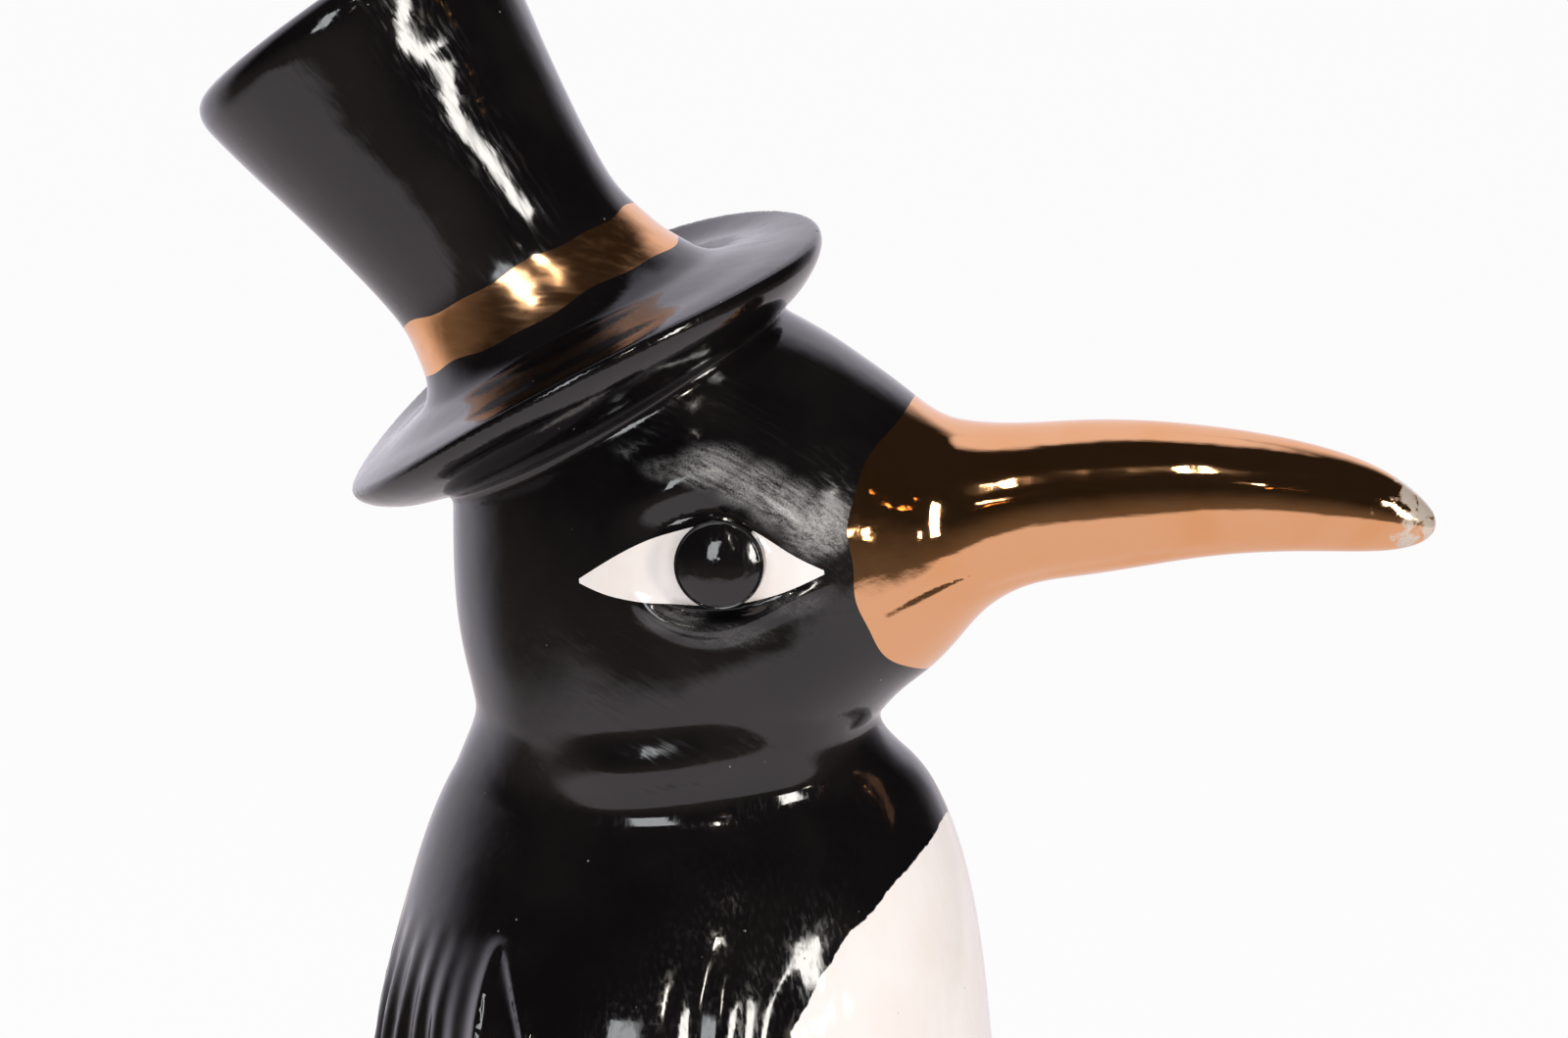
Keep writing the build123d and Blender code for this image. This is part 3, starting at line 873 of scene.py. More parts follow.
class Wire:
    """A shader socket that Python's operators combine into Math nodes."""

    def __init__(self, graph: "Graph", socket: bpy.types.NodeSocket) -> None:
        """Wrap one output socket of a node."""
        self.graph = graph
        self.socket = socket

    def __add__(self, other: "Value") -> "Wire":
        """Sum."""
        return self.graph.math("ADD", self, other)

    __radd__ = __add__

    def __sub__(self, other: "Value") -> "Wire":
        """Difference."""
        return self.graph.math("SUBTRACT", self, other)

    def __rsub__(self, other: "Value") -> "Wire":
        """Difference, with this value taken away."""
        return self.graph.math("SUBTRACT", other, self)

    def __mul__(self, other: "Value") -> "Wire":
        """Product."""
        return self.graph.math("MULTIPLY", self, other)

    __rmul__ = __mul__

    def __truediv__(self, other: "Value") -> "Wire":
        """Quotient."""
        return self.graph.math("DIVIDE", self, other)

    def __rtruediv__(self, other: "Value") -> "Wire":
        """Quotient, with this value below."""
        return self.graph.math("DIVIDE", other, self)

    def __pow__(self, other: "Value") -> "Wire":
        """Power."""
        return self.graph.math("POWER", self, other)

    def __neg__(self) -> "Wire":
        """Opposite."""
        return self.graph.math("MULTIPLY", self, -1.0)


Value = Union[Wire, float]


class Graph:
    """The node tree of one material or world."""

    def __init__(self, tree: bpy.types.NodeTree) -> None:
        """Start with an empty tree."""
        self.tree = tree
        tree.nodes.clear()

    def join(self, target: bpy.types.NodeSocket, value: object) -> None:
        """Link a wire to a socket, or set the socket's own value."""
        if isinstance(value, Wire):
            self.tree.links.new(value.socket, target)
        else:
            target.default_value = value

    def node(self, kind: str, settings: dict | None = None, sockets: dict | None = None, output: int | str = 0) -> Wire:
        """Add any node.

        Args:
            kind: the node's type.
            settings: its properties, set first; "stops" fills a colour ramp.
            sockets: values or wires of its inputs, by name or number.
            output: the output to return.

        Returns:
            The wire of that output.
        """
        made = self.tree.nodes.new(kind)
        for name, value in (settings or {}).items():
            if name == "stops":
                self.fill_ramp(made.color_ramp, value)
            else:
                setattr(made, name, value)
        for key, value in (sockets or {}).items():
            self.join(made.inputs[key], value)
        outputs = made.outputs
        return Wire(self, outputs[output]) if len(outputs) else Wire(self, None)

    @staticmethod
    def fill_ramp(ramp_data: bpy.types.ColorRamp, stops: Sequence[tuple[float, Colour]]) -> None:
        """Set the stops of a colour ramp."""
        while len(ramp_data.elements) < len(stops):
            ramp_data.elements.new(1.0)
        for element, (place, colour) in zip(ramp_data.elements, stops):
            element.position = place
            element.color = colour

    def math(self, operation: str, first: Value, second: Value = 0.0) -> Wire:
        """Add one Math node."""
        return self.node("ShaderNodeMath", {"operation": operation}, {0: first, 1: second})

    def steps(self, value: Value, start: float, end: float) -> Wire:
        """Rise smoothly from 0 at start to 1 at end."""
        sockets = {"Value": value, "From Min": start, "From Max": end}
        return self.node("ShaderNodeMapRange", {"interpolation_type": "SMOOTHSTEP"}, sockets)

    def mix(self, share: Value, first: object, second: object) -> Wire:
        """Mix two colours."""
        return self.node("ShaderNodeMix", {"data_type": "RGBA"}, {0: share, 6: first, 7: second}, 2)

    def place(self) -> Wire:
        """Return the point on the surface, in millimetres of the figure's own frame."""
        point = self.node("ShaderNodeTexCoord", output="Object")
        return self.node("ShaderNodeVectorMath", {"operation": "SCALE"}, {0: point, "Scale": 1 / MM})

    def parts(self, vector: Wire) -> tuple[Wire, Wire, Wire]:
        """Split a vector into X, Y and Z."""
        split = self.node("ShaderNodeSeparateXYZ", sockets={0: vector})
        outputs = split.socket.node.outputs
        return tuple(Wire(self, outputs[i]) for i in range(3))

    def stretched(self, vector: Wire, factors: tuple[float, float, float]) -> Wire:
        """Scale a vector along each axis."""
        return self.node("ShaderNodeVectorMath", {"operation": "MULTIPLY"}, {0: vector, 1: factors})

    def noise(self, vector: Wire, scale: float, detail: float = 2.0, distortion: float = 0.0) -> Wire:
        """Add a noise of about 0 to 1."""
        sockets = {"Vector": vector, "Scale": scale, "Detail": detail, "Distortion": distortion}
        return self.node("ShaderNodeTexNoise", sockets=sockets)

    def spots(self, vector: Wire, scale: float) -> Wire:
        """Add the distance to scattered points."""
        return self.node("ShaderNodeTexVoronoi", sockets={"Vector": vector, "Scale": scale})

    def bump(self, height: Wire, depth: float, strength: float) -> Wire:
        """Add a bump of some depth, in millimetres."""
        sockets = {"Height": height, "Distance": depth * MM, "Strength": strength}
        return self.node("ShaderNodeBump", sockets=sockets)

    def shade(self, sockets: dict) -> None:
        """Add the surface shader and the output."""
        shader = self.node("ShaderNodeBsdfPrincipled", sockets=sockets)
        self.node("ShaderNodeOutputMaterial", sockets={"Surface": shader})


class Finish:
    """A material that is made once and given to many pieces."""

    name: str

    def paint(self, graph: Graph) -> None:
        """Fill the material's node tree."""
        raise NotImplementedError

    def material(self) -> bpy.types.Material:
        """Return the material, made on first use."""
        known = bpy.data.materials.get(self.name)
        if known is not None and known.get("finished"):
            return known
        made = bpy.data.materials.new(self.name)
        made.use_nodes = True
        self.paint(Graph(made.node_tree))
        made["finished"] = True
        return made

    def dress(self, piece: bpy.types.Object) -> None:
        """Put the finish on every material slot of a piece."""
        piece.data.materials.clear()
        piece.data.materials.append(self.material())


@dataclass(frozen=True)
class BlackGlaze(Finish):
    """Glossy black glaze, put on with a brush."""

    name: str = "black_glaze"
    lean: float = 0.0
    grain: tuple[float, float, float] = (0.9, 0.9, 0.06)
    brush: float = 0.035
    dark: Colour = (0.0030, 0.0026, 0.0032, 1)
    warm: Colour = (0.0065, 0.0052, 0.0055, 1)
    dust: Colour = (0.18, 0.17, 0.16, 1)
    # painted highlight: pale grey that the base colour turns to in the rough patches of the face
    painted_highlight_grey: Colour = (0.5, 0.485, 0.48, 1)
    gloss: float = 0.055
    ior: float = 1.6
    waves: float = 0.9
    wave_scale: float = 0.11

    def scuffs_and_painted_highlight(self, graph: Graph, point: Wire) -> Value:
        """Return where the glaze is rougher and carries a painted highlight in pale grey, from 0 to 1."""
        return 0.0

    def sockets(self, graph: Graph) -> dict:
        """Return the shader's sockets, for this glaze alone or under another."""
        point = graph.place()
        clouds = graph.noise(point, 0.06, 3.0)
        turned = graph.node(
            "ShaderNodeVectorRotate",
            {"rotation_type": "Y_AXIS"},
            {"Vector": point, "Angle": math.radians(self.lean)},
        )
        hairs = graph.noise(graph.stretched(turned, self.grain), 2.0, 3.0, 0.4)
        ripple = graph.noise(point, self.wave_scale, 2.0)
        speck = graph.spots(point, 0.33)
        rare = graph.noise(point, 0.09, 1.0)
        dust = (1 - graph.steps(speck, 0.035, 0.06)) * graph.steps(rare, 0.56, 0.6)
        colour = graph.mix(graph.steps(clouds, 0.35, 0.7), self.dark, self.warm)
        colour = graph.mix(dust, colour, self.dust)
        streaks = graph.steps(hairs, 0.42, 0.7)
        scuffs_and_painted_highlight = self.scuffs_and_painted_highlight(graph, point)
        grit = graph.steps(0.5 * hairs + 0.5 * graph.noise(point, 4.5, 2.0), 0.30, 0.74)
        # painted highlight: in the rough patches the base colour is pushed towards pale grey, streaked by the grit
        # mask; the roughness below is the real scuffing
        colour = graph.mix(graph.math("MULTIPLY", 0.8 * grit, scuffs_and_painted_highlight), colour, self.painted_highlight_grey)
        scuff = graph.math("MULTIPLY", 0.08 + 0.3 * hairs, scuffs_and_painted_highlight)
        rough = self.gloss + 0.12 * streaks + 0.06 * graph.steps(clouds, 0.5, 0.75) + 0.4 * dust + scuff
        height = self.waves * ripple + self.brush * hairs + 0.2 * dust
        return {
            "Base Color": colour,
            "Roughness": rough,
            "IOR": self.ior,
            "Normal": graph.bump(height, 0.5, 0.28),
        }

    def paint(self, graph: Graph) -> None:
        """Fill the node tree."""
        graph.shade(self.sockets(graph))


@dataclass(frozen=True)
class FaceGlaze(BlackGlaze):
    """Black glaze of the head, rougher on brow and lower lid, where pale grey is laid in as a painted highlight."""

    name: str = "black_glaze_face"
    lean: float = 62.0
    # patches of rougher glaze that also carry a painted highlight in pale grey, set on brow and lower lid
    spots: tuple[tuple[float, float, float, float, float], ...] = (
        (1.5, 200.2, 4.0, 1.6, 0.3),
        (7.0, 200.6, 5.0, 2.8, 0.8),
        (12.0, 198.2, 4.5, 3.0, 0.8),
        (16.0, 195.6, 4.5, 3.2, 0.8),
        (20.5, 192.5, 4.5, 4.2, 1.0),
        (1.6, 180.6, 4.5, 2.0, 0.2),
        (9.0, 178.4, 6.0, 1.8, 0.15),
        (17.6, 182.4, 4.5, 1.8, 0.15),
    )

    def scuffs_and_painted_highlight(self, graph: Graph, point: Wire) -> Value:
        """Return where the glaze is rougher and carries a painted highlight in pale grey, from 0 to 1."""
        x, _, z = graph.parts(point)
        total = None
        for forward, level, half_length, half_height, strength in self.spots:
            along = (x - forward) / half_length
            up = (z - level) / half_height
            fade = 1 - graph.steps(along * along + up * up, 0.0, 1.9)
            spot = strength * fade * fade
            total = spot if total is None else graph.math("MAXIMUM", total, spot)
        return total


@dataclass(frozen=True)
class WhiteGlaze(Finish):
    """Warm white glaze of the eyes."""

    name: str = "white_glaze"
    pale: Colour = (0.86, 0.80, 0.785, 1)
    shaded: Colour = (0.83, 0.75, 0.71, 1)
    gloss: float = 0.07
    ior: float = 1.55

    def sockets(self, graph: Graph) -> dict:
        """Return the shader's sockets, for this glaze alone or beside another."""
        point = graph.place()
        clouds = graph.noise(point, 0.08, 3.0)
        furrows = graph.noise(graph.stretched(point, (0.25, 0.25, 0.02)), 1.0, 2.0)
        speck = graph.spots(point, 0.21)
        pin = 1 - graph.steps(speck, 0.02, 0.04)
        colour = graph.mix(graph.steps(clouds, 0.4, 0.75), self.pale, self.shaded)
        colour = graph.mix(0.6 * pin, colour, (0.30, 0.25, 0.21, 1))
        return {
            "Base Color": colour,
            "Roughness": self.gloss + 0.06 * clouds,
            "IOR": self.ior,
            "Normal": graph.bump(furrows + 0.3 * clouds, 0.6, 0.3),
        }

    def paint(self, graph: Graph) -> None:
        """Fill the node tree."""
        graph.shade(self.sockets(graph))


@dataclass(frozen=True)
class BodyGlaze(Finish):
    """Black glaze with the white breast laid in up to a brushed edge."""

    name: str = "body_glaze"
    black: BlackGlaze = BlackGlaze()
    white: WhiteGlaze = WhiteGlaze()
    flank: float = 13.0
    shoulder_start: float = 100.0
    shoulder_rise: float = 48.8
    shoulder_reach: float = 22.5
    shoulder_power: float = 2.54
    hem_start: float = 70.0
    hem_fall: float = 65.0
    hem_reach: float = 15.0

    def breast(self, graph: Graph) -> Wire:
        """Return a mask that is 1 on the white breast."""
        point = graph.place()
        x, _, z = graph.parts(point)
        up = graph.math("MAXIMUM", (z - self.shoulder_start) / self.shoulder_rise, 0.0)
        down = graph.math("MAXIMUM", (self.hem_start - z) / self.hem_fall, 0.0)
        edge = self.flank + self.shoulder_reach * up**self.shoulder_power + self.hem_reach * down * down
        wobble = 3.0 * (graph.noise(point, 0.12, 2.0) - 0.5) + 0.8 * (graph.noise(point, 0.8, 2.0) - 0.5)
        return graph.steps(x - edge + wobble, -0.12, 0.12)

    def paint(self, graph: Graph) -> None:
        """Fill the node tree."""
        mask = self.breast(graph)
        black = graph.node("ShaderNodeBsdfPrincipled", sockets=self.black.sockets(graph))
        white = graph.node("ShaderNodeBsdfPrincipled", sockets=self.white.sockets(graph))
        both = graph.node("ShaderNodeMixShader", sockets={0: mask, 1: black, 2: white})
        graph.node("ShaderNodeOutputMaterial", sockets={"Surface": both})


@dataclass(frozen=True)
class GoldLustre(Finish):
    """Mirror-bright gold lustre fired over the glaze, worn at the tip of the beak."""

    name: str = "gold_lustre"
    gold: Colour = (0.84, 0.455, 0.235, 1)
    copper: Colour = (0.80, 0.37, 0.135, 1)
    worn: Colour = (0.62, 0.58, 0.52, 1)
    wear_start: float = 86.0
    wear_end: float = 103.0
    gloss: float = 0.04
    scuffed: float = 0.04

    def paint(self, graph: Graph) -> None:
        """Fill the node tree."""
        point = graph.place()
        x, _, z = graph.parts(point)
        clouds = graph.noise(point, 0.07, 3.0, 0.5)
        strokes = graph.noise(graph.stretched(point, (0.06, 0.5, 0.5)), 1.6, 3.0)
        ripple = graph.noise(point, 0.13, 2.0)
        flakes = graph.noise(point, 0.5, 4.0, 0.3)
        high = graph.steps(z, 120.0, 150.0)
        tip = graph.steps(x, self.wear_start, self.wear_end) * high
        wear = graph.steps(0.5 * tip + 0.8 * flakes, 0.72, 0.82) * graph.steps(x, 60.0, 80.0) * high
        colour = graph.mix(0.5 * graph.steps(clouds, 0.42, 0.78), self.gold, self.copper)
        colour = graph.mix(0.85 * wear, colour, self.worn)
        rough = self.gloss + self.scuffed * graph.steps(strokes, 0.4, 0.8) + 0.14 * wear
        graph.shade(
            {
                "Base Color": colour,
                "Metallic": 1 - 0.6 * wear,
                "Roughness": rough,
                "Normal": graph.bump(ripple + 0.12 * strokes + 0.1 * wear, 0.5, 0.25),
            }
        )


@dataclass(frozen=True)
class BareClay(Finish):
    """Unglazed clay of the underside."""

    name: str = "bare_clay"
    pale: Colour = (0.74, 0.68, 0.60, 1)
    dark: Colour = (0.60, 0.53, 0.45, 1)

    def paint(self, graph: Graph) -> None:
        """Fill the node tree."""
        point = graph.place()
        clouds = graph.noise(point, 0.15, 4.0)
        grit = graph.noise(point, 3.0, 3.0)
        graph.shade(
            {
                "Base Color": graph.mix(graph.steps(clouds + 0.4 * grit, 0.5, 0.9), self.pale, self.dark),
                "Roughness": 0.75 + 0.2 * grit,
                "Normal": graph.bump(grit, 0.2, 0.5),
            }
        )


BLACK = BlackGlaze()
HAT_BLACK = BlackGlaze(name="black_glaze_hat", lean=35.2, brush=0.08)
FACE_BLACK = FaceGlaze()
EYE_BLACK = BlackGlaze(name="black_glaze_eye", waves=0.8, wave_scale=0.38)
BODY = BodyGlaze()
WHITE = WhiteGlaze()
GOLD = GoldLustre()
BAND_GOLD = GoldLustre(name="gold_lustre_band", gloss=0.13, scuffed=0.14)
CLAY = BareClay()


@dataclass
class Figurine:
    """All the castings of the figure, and the one glazed skin that runs over them."""

    body: BodyCasting = field(default_factory=BodyCasting)
    head: HeadCasting = field(default_factory=HeadCasting)
    beak: BeakCasting = field(default_factory=BeakCasting)
    hat: TopHat = field(default_factory=TopHat)
    flippers: Flippers = field(default_factory=Flippers)
    feet: Feet = field(default_factory=Feet)
    tail: Tail = field(default_factory=Tail)
    beak_fillet: float = 6.0
    neck_fillet: float = 7.5
    hat_fillet: float = 1.6
    flipper_fillet: float = 3.0
    foot_fillet: float = 2.0
    wall: float = 2.0

    def face(self, x: Array, y: Array, z: Array) -> Array:
        """Return the distance to head and beak in one."""
        return smooth_min(self.head.form(x, y, z), self.beak.form(x, y, z), self.beak_fillet)

    def upper(self, x: Array, y: Array, z: Array) -> Array:
        """Return the distance to the skin from the shoulders up."""
        skin = smooth_min(self.face(x, y, z), self.body.form(x, y, z), self.neck_fillet)
        return smooth_min(skin, self.hat.form(x, y, z), self.hat_fillet)

    def lower(self, x: Array, y: Array, z: Array) -> Array:
        """Return the distance to the skin up to the neck."""
        skin = smooth_min(self.face(x, y, z), self.body.form(x, y, z), self.neck_fillet)
        skin = smooth_min(skin, self.flippers.form(x, y, z), self.flipper_fillet)
        skin = smooth_min(skin, self.feet.form(x, y, z), self.foot_fillet)
        return smooth_min(skin, self.tail.form(x, y, z), self.foot_fillet)

    def nearer(self, first: Form, *others: Form) -> Form:
        """Return a form that is positive where the first form is the nearest."""

        def margin(x: Array, y: Array, z: Array) -> Array:
            rest = others[0](x, y, z)
            for other in others[1:]:
                rest = np.minimum(rest, other(x, y, z))
            return rest - first(x, y, z)

        return margin

    def add(self, name: str, sculptor: Sculptor, box: tuple, keeps: Sequence[Form], finish: Finish, slot: str) -> bpy.types.Object:
        """Carve one piece, let it stand for its CAD node and dress it.

        Args:
            name: name of the CAD node that the piece stands for.
            sculptor: holds the skin and the size of its faces.
            box: lowest and highest corner that hold the piece.
            keeps: forms that are positive on the piece.
            finish: the material.
            slot: the record's material slot; not used.

        Returns:
            The new piece.
        """
        mesh, normals = sculptor.carve(*box, keeps, self.wall)
        return self.enrol(make_object(f"{name}_skin", mesh, normals), name, finish)

    def enrol(self, piece: bpy.types.Object, name: str, finish: Finish) -> bpy.types.Object:
        """Dress a piece and let it ride in place of its CAD node."""
        finish.dress(piece)
        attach(piece, "root")
        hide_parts(name)
        log.info("%s: %d faces", name, len(piece.data.polygons))
        return piece

    def build_head(self) -> None:
        """Build head, eyes and beak."""
        fine = Sculptor(self.upper, 0.6)
        box = ((-36, -33, 147), (41, 33, 224))
        off_body = self.nearer(self.face, self.body.form)
        off_hat = self.nearer(self.face, self.hat.form)
        right = self.head.eye.inside(Side.RIGHT)
        left = self.head.eye.inside(Side.LEFT)
        keeps = [off_body, off_hat, negative(self.beak.gilded), negative(right), negative(left)]
        self.add("head", fine, box, keeps, FACE_BLACK, "black_glaze")
        for side, eye in (("right", right), ("left", left)):
            low, high = (-33, 0) if side == "right" else (0, 33)
            eye_box = ((-14, low, 178), (25, high, 198))
            eye_skin = Sculptor(self.upper, 0.5)
            self.add(f"{side}_eye_white", eye_skin, eye_box, [eye], WHITE, "white_glaze")
        beak_box = ((18, -27, 160), (103, 27, 218))
        beak_keeps = [self.beak.gilded, off_body, off_hat]
        self.add("beak", Sculptor(self.upper, 0.45), beak_box, beak_keeps, GOLD, "gold_lustre")

    def build_pupils(self) -> None:
        """Build the domed pupils, turned a little from the eyeballs towards the sides."""
        eye = self.head.eye
        start = np.array([[eye.pupil_forward, -30.0, eye.pupil_level]])
        sculptor = Sculptor(self.head.form, 0.5)
        for _ in range(6):
            start[:, 1] += sculptor.form(*start.T)
        normal = sculptor.slope(sculptor.form, start)[0] + (-0.2, -2, 0)
        normal /= np.linalg.norm(normal)
        for side in Side:
            mirror = np.array([1, -side.value, 1])
            mesh, normals = self.pupil_mesh(start[0] * mirror, normal * mirror)
            name = f"{side.name.lower()}_pupil"
            self.enrol(make_object(f"{name}_dome", mesh, normals), name, EYE_BLACK)

    def pupil_mesh(self, middle: Array, normal: Array) -> tuple[Mesh, Array]:
        """Turn the pupil's outline round its axis.

        Args:
            middle: the point of the eyeball under the pupil's top.
            normal: the direction of the axis.

        Returns:
            The closed mesh and its normals.
        """
        eye = self.head.eye
        radius = eye.pupil_radius
        dome = (radius**2 + eye.pupil_drop**2) / (2 * eye.pupil_drop)
        end = math.asin(0.9 * radius / dome)
        outline = []
        for turn in np.linspace(0.02, end, 24):
            outline.append((dome * math.sin(turn), eye.pupil_height - dome * (1 - math.cos(turn))))
        groove_level = outline[-1][1]
        lip = radius - outline[-1][0]
        for share, rise in ((0.2, -0.12), (0.4, -0.1), (0.6, -0.02), (0.8, -0.06), (0.95, -0.3), (1.0, -0.7)):
            outline.append((outline[23][0] + share * lip, groove_level + rise))
        outline.append((radius, -eye.pupil_seat))
        outline.append((0.02, -eye.pupil_seat))
        ring = 96
        side = np.cross(normal, (0, 0, 1))
        side /= np.linalg.norm(side)
        upward = np.cross(side, normal)
        turns = np.linspace(0, 2 * math.pi, ring, endpoint=False)
        spokes = np.cos(turns)[:, None] * side + np.sin(turns)[:, None] * upward
        profile = np.array(outline)
        tangent = np.gradient(profile, axis=0)
        flat = np.stack([-tangent[:, 1], tangent[:, 0]], axis=1)
        flat /= np.linalg.norm(flat, axis=1)[:, None]
        points = []
        normals = []
        for (reach, height), (out, up) in zip(profile, flat):
            points.append(middle + reach * spokes + height * normal)
            normals.append(out * spokes + up * normal)
        rows = len(profile)
        index = np.arange(rows * ring).reshape(rows, ring)
        ahead = np.roll(index, -1, axis=1)
        quads = np.stack([index[:-1], index[1:], ahead[1:], ahead[:-1]], axis=-1).reshape(-1, 4)
        points = np.concatenate(points)
        normals = np.concatenate(normals)
        caps = [(0, i, i + 1) for i in range(1, ring - 1)]
        last = (rows - 1) * ring
        caps += [(last, last + i + 1, last + i) for i in range(1, ring - 1)]
        first = quads[ring * 4]
        corner = points[first]
        facing = np.cross(corner[1] - corner[0], corner[2] - corner[0])
        triangles = np.array(caps)
        if facing @ normals[first[0]] < 0:
            quads = quads[:, ::-1]
        else:
            triangles = triangles
        lid = points[triangles[0]]
        if np.cross(lid[1] - lid[0], lid[2] - lid[0]) @ normal < 0:
            triangles = triangles[:, ::-1]
        return Mesh(points, quads, triangles), normals

    def build_hat(self) -> None:
        """Build brim, band and crown."""
        off_head = self.nearer(self.hat.form, self.face)
        over_foot = self.hat.above(self.hat.band_start, 0.4)
        over_band = self.hat.above(self.hat.band_end, 2.1)
        brim_box = ((-52, -40, 186), (25, 40, 243))
        brim_keeps = [off_head, self.hat.brim_side(over_foot)]
        self.add("hat_brim", Sculptor(self.upper, 0.7), brim_box, brim_keeps, HAT_BLACK, "black_glaze")
        band_box = ((-43, -22, 202), (3, 22, 238))
        band_keeps = [off_head, over_foot, negative(over_band)]
        self.add("hat_band", Sculptor(self.upper, 0.5), band_box, band_keeps, BAND_GOLD, "gold_lustre")
        crown_box = ((-72, -27, 208), (2, 27, 275))
        self.add("hat_crown", Sculptor(self.upper, 0.8), crown_box, [over_band], HAT_BLACK, "black_glaze")

    def build_body(self) -> None:
        """Build body, flippers, feet and tail; the base disc keeps its CAD shape."""
        skin = Sculptor(self.lower, 0.9)
        others = [self.face, self.flippers.form, self.feet.form, self.tail.form]
        keeps = [self.nearer(self.body.form, other) for other in others] + [self.body.outside_base]
        self.add("body", skin, ((-49, -47, -1), (48, 47, 166)), keeps, BODY, "body_glaze")
        middle = Sculptor(self.lower, 0.7)
        off_body = self.nearer(self.flippers.form, self.body.form)
        for side in Side:
            label = side.name.lower()
            low, high = (-52, 0) if side is Side.RIGHT else (0, 52)
            box = ((-42, low, 50), (36, high, 150))
            self.add(f"{label}_flipper", middle, box, [on_side(side), off_body], BLACK, "black_glaze")
            foot_box = ((16, low, -1), (60, high, 16))
            foot_keeps = [on_side(side), self.nearer(self.feet.form, self.body.form)]
            self.add(f"{label}_foot", Sculptor(self.lower, 0.6), foot_box, foot_keeps, GOLD, "gold_lustre")
        tail_box = ((-67, -22, -1), (-26, 22, 54))
        tail_keeps = [self.nearer(self.tail.form, self.body.form)]
        self.add("tail", middle, tail_box, tail_keeps, BLACK, "black_glaze")
        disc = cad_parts["base_disc"]
        CLAY.dress(disc)
        log.info("base_disc: CAD shape kept")


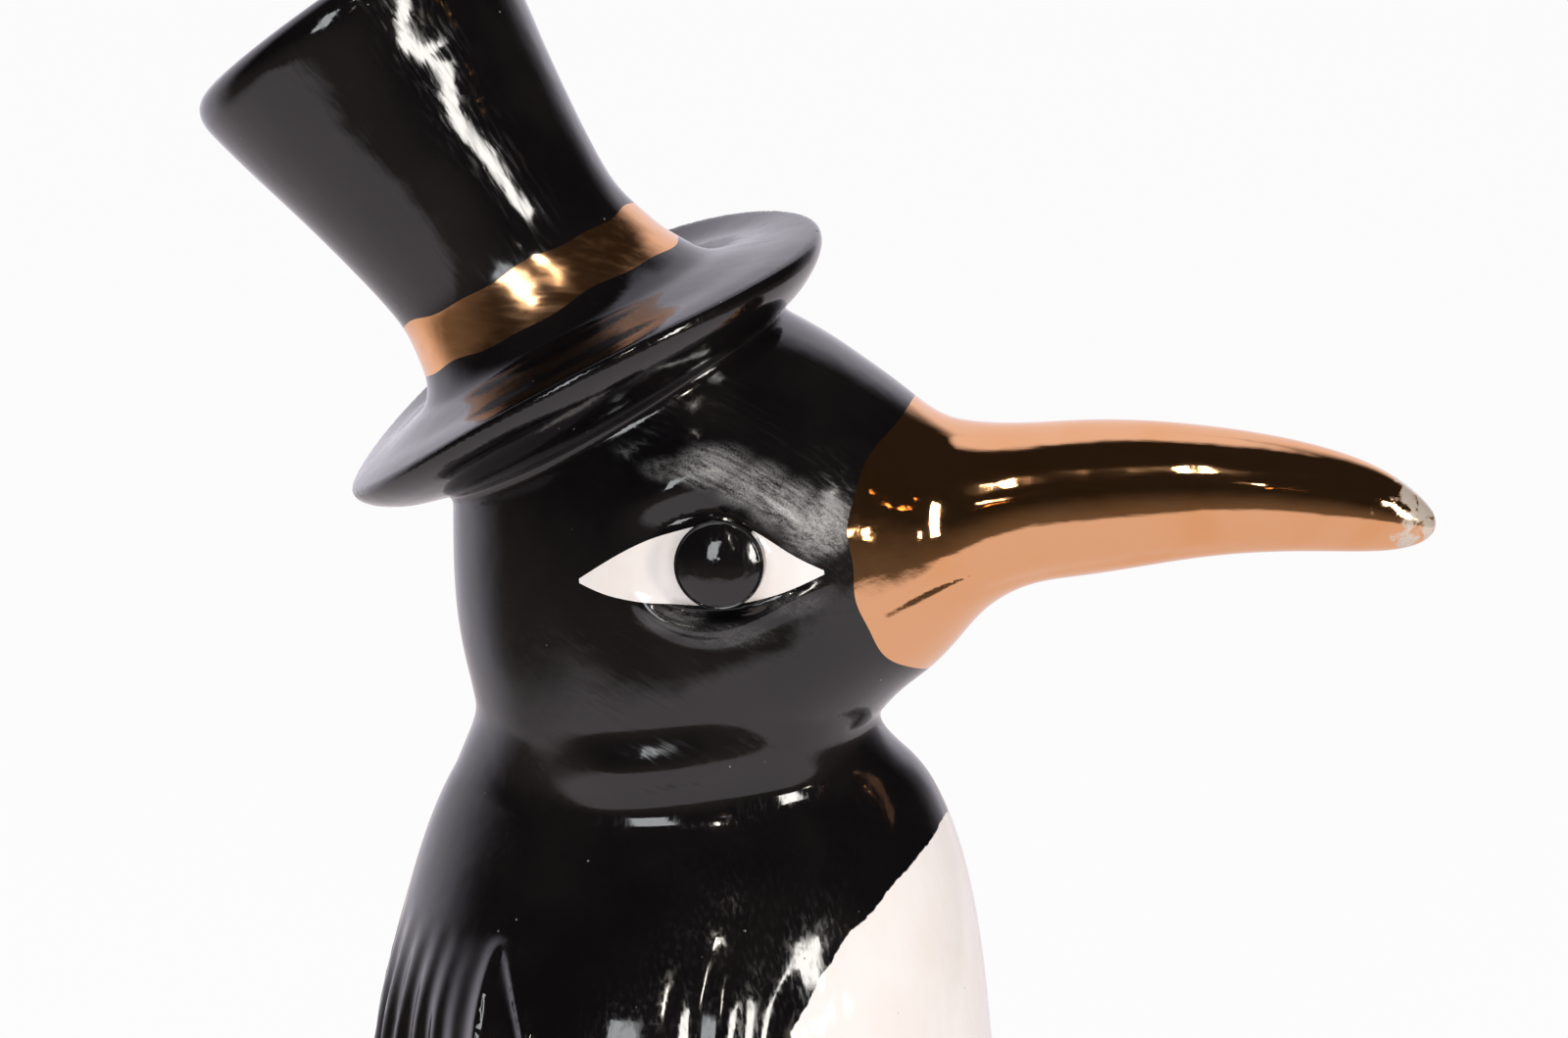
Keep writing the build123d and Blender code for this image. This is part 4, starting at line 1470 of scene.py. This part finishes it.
@dataclass
class Studio:
    """Camera, floor, lamps and the pale surroundings."""

    azimuth: float = 6.0
    elevation: float = 10.0
    distance: float = 560.0
    target: tuple[float, float, float] = (13.6, 0.0, 189.4)
    lens: float = 94.5
    sensor: float = 36.0
    table_front: float = -420.0
    table_left: float = -430.0
    table_right: float = 650.0
    table_colour: Colour = (0.86, 0.78, 0.82, 1)
    backdrop_colour: Colour = (0.97, 0.93, 1.04, 1)
    ambience: float = 0.58

    def build(self) -> None:
        """Set up everything around the figure."""
        bpy.context.scene.view_settings.view_transform = "Standard"
        self.build_camera()
        self.build_floor()
        self.build_world()
        self.build_lamps()

    def build_camera(self) -> None:
        """Put the camera where the photograph was taken from."""
        azimuth = math.radians(self.azimuth)
        elevation = math.radians(self.elevation)
        away = Vector(
            (
                math.sin(azimuth) * math.cos(elevation),
                -math.cos(azimuth) * math.cos(elevation),
                math.sin(elevation),
            )
        )
        data = bpy.data.cameras.new("camera")
        data.lens = self.lens
        data.sensor_width = self.sensor
        data.sensor_fit = "HORIZONTAL"
        data.clip_start = 0.01
        camera = bpy.data.objects.new("camera", data)
        camera.location = (Vector(self.target) + self.distance * away) * MM
        camera.rotation_euler = away.to_track_quat("Z", "Y").to_euler()
        bpy.context.scene.collection.objects.link(camera)
        bpy.context.scene.camera = camera

    def build_floor(self) -> None:
        """Lay the white floor; off a mirror it is a table that ends near the figure."""
        data = bpy.data.meshes.new("floor")
        data.from_pydata([(-9, -9, 0), (9, -9, 0), (9, 30, 0), (-9, 30, 0)], [], [(0, 1, 2, 3)])
        floor = bpy.data.objects.new("floor", data)
        bpy.context.scene.collection.objects.link(floor)
        made = bpy.data.materials.new("floor_white")
        made.use_nodes = True
        graph = Graph(made.node_tree)
        cloth = graph.node("ShaderNodeBsdfDiffuse", sockets={"Color": (0.9, 0.9, 0.9, 1)})
        camera, glossy, through = self.rays(graph)
        tint = graph.mix(glossy, (1, 1, 1, 1), self.table_colour)
        glow = graph.node("ShaderNodeEmission", sockets={"Color": tint, "Strength": 1.0})
        seen = graph.math("MINIMUM", camera + glossy + through, 1.0)
        table = graph.node("ShaderNodeMixShader", sockets={0: 0.93 * seen, 1: cloth, 2: glow})
        x, y, _ = graph.parts(graph.place())
        table_top = graph.steps(y, self.table_front - 60, self.table_front + 60)
        table_top = table_top * graph.steps(x, self.table_left - 150, self.table_left + 150)
        table_top = table_top * (1 - graph.steps(x, self.table_right - 150, self.table_right + 150))
        beyond = glossy * (1 - table_top)
        nothing = graph.node("ShaderNodeBsdfTransparent")
        both = graph.node("ShaderNodeMixShader", sockets={0: beyond, 1: table, 2: nothing})
        graph.node("ShaderNodeOutputMaterial", sockets={"Surface": both})
        data.materials.append(made)

    @staticmethod
    def rays(graph: Graph) -> tuple[Wire, Wire, Wire]:
        """Return 1 for rays from the camera, off a mirror and through glass."""
        outputs = graph.node("ShaderNodeLightPath").socket.node.outputs
        names = ("Is Camera Ray", "Is Glossy Ray", "Is Transmission Ray")
        return tuple(Wire(graph, outputs[name]) for name in names)

    def build_world(self) -> None:
        """Surround the figure with white; its mirror finish sees a dim room in front."""
        world = bpy.data.worlds.new("studio")
        world.use_nodes = True
        bpy.context.scene.world = world
        graph = Graph(world.node_tree)
        x, y, z = graph.parts(graph.node("ShaderNodeTexCoord", output="Generated"))
        backdrop = graph.steps(y - 0.68 * graph.steps(x, 0.0, 0.6), -0.12, 0.5)
        ceiling = graph.steps(z + 0.3 * y, 0.98, 1.03)
        white = graph.math("MAXIMUM", backdrop, ceiling)
        room = 0.022 + 0.14 * graph.steps(-z, -0.2, 0.4)
        camera, glossy, through = self.rays(graph)
        plain = self.ambience + (1.0 - self.ambience) * graph.math("MINIMUM", camera + through, 1.0)
        plain = graph.node("ShaderNodeCombineColor", sockets={0: plain, 1: plain, 2: plain})
        dim = graph.node("ShaderNodeCombineColor", sockets={0: room, 1: 0.86 * room, 2: 0.7 * room})
        mirrored = graph.mix(white, dim, self.backdrop_colour)
        colour = graph.mix(glossy, plain, mirrored)
        light = graph.node("ShaderNodeBackground", sockets={"Color": colour, "Strength": 1.0})
        graph.node("ShaderNodeOutputWorld", sockets={"Surface": light})

    def build_lamps(self) -> None:
        """Hang soft windows around the camera and small warm lamps further off."""
        self.lamp("key", -11, 18, 1.3, (0.34, 0.58), 6.0, (0.95, 0.98, 1.0))
        self.lamp("tube", 19, 20, 1.3, (0.03, 0.05), 12.0, (1.0, 0.98, 0.95))
        self.lamp("side", 49, 12, 1.3, (0.19, 0.52), 19.0, (1.0, 0.97, 0.92))
        self.lamp("sparkle", 60, 1, 1.3, (0.06, 0.07), 14.0, (1.0, 0.9, 0.7))
        self.lamp("bulb", 14, 38, 1.9, (0.025, 0.3), 130.0, (1.0, 0.93, 0.82))
        for azimuth, elevation in ((19, 15), (67, 18), (70, 13)):
            self.lamp("room_lamp", azimuth, elevation, 1.9, (0.05, 0.03), 5.0, (1.0, 0.5, 0.15))

    def lamp(
        self,
        name: str,
        azimuth: float,
        elevation: float,
        distance: float,
        size: tuple[float, float],
        brightness: float,
        colour: tuple[float, float, float],
    ) -> None:
        """Add one soft lamp that faces the figure's head.

        Args:
            name: name of the lamp.
            azimuth: degrees from the figure's right side towards its beak.
            elevation: degrees above the head.
            distance: from the head, in metres.
            size: its width and height, in metres.
            brightness: how bright its face is, where 1 is white.
            colour: its colour.
        """
        turn = math.radians(azimuth)
        rise = math.radians(elevation)
        away = Vector((math.sin(turn) * math.cos(rise), -math.cos(turn) * math.cos(rise), math.sin(rise)))
        data = bpy.data.lights.new(name, "AREA")
        data.shape = "RECTANGLE"
        data.size, data.size_y = size
        data.energy = brightness * math.pi * size[0] * size[1]
        data.color = colour
        lamp = bpy.data.objects.new(name, data)
        lamp.location = Vector((0, 0, self.target[2] * MM)) + distance * away
        lamp.rotation_euler = away.to_track_quat("Z", "Y").to_euler()
        bpy.context.scene.collection.objects.link(lamp)


def main() -> None:
    """Build the figure and its studio, and log the face count of each piece."""
    logging.basicConfig(level=logging.INFO, format="%(name)s: %(message)s")
    figurine = Figurine()
    figurine.build_head()
    figurine.build_pupils()
    figurine.build_hat()
    figurine.build_body()
    Studio().build()


if __name__ == "__main__":
    main()
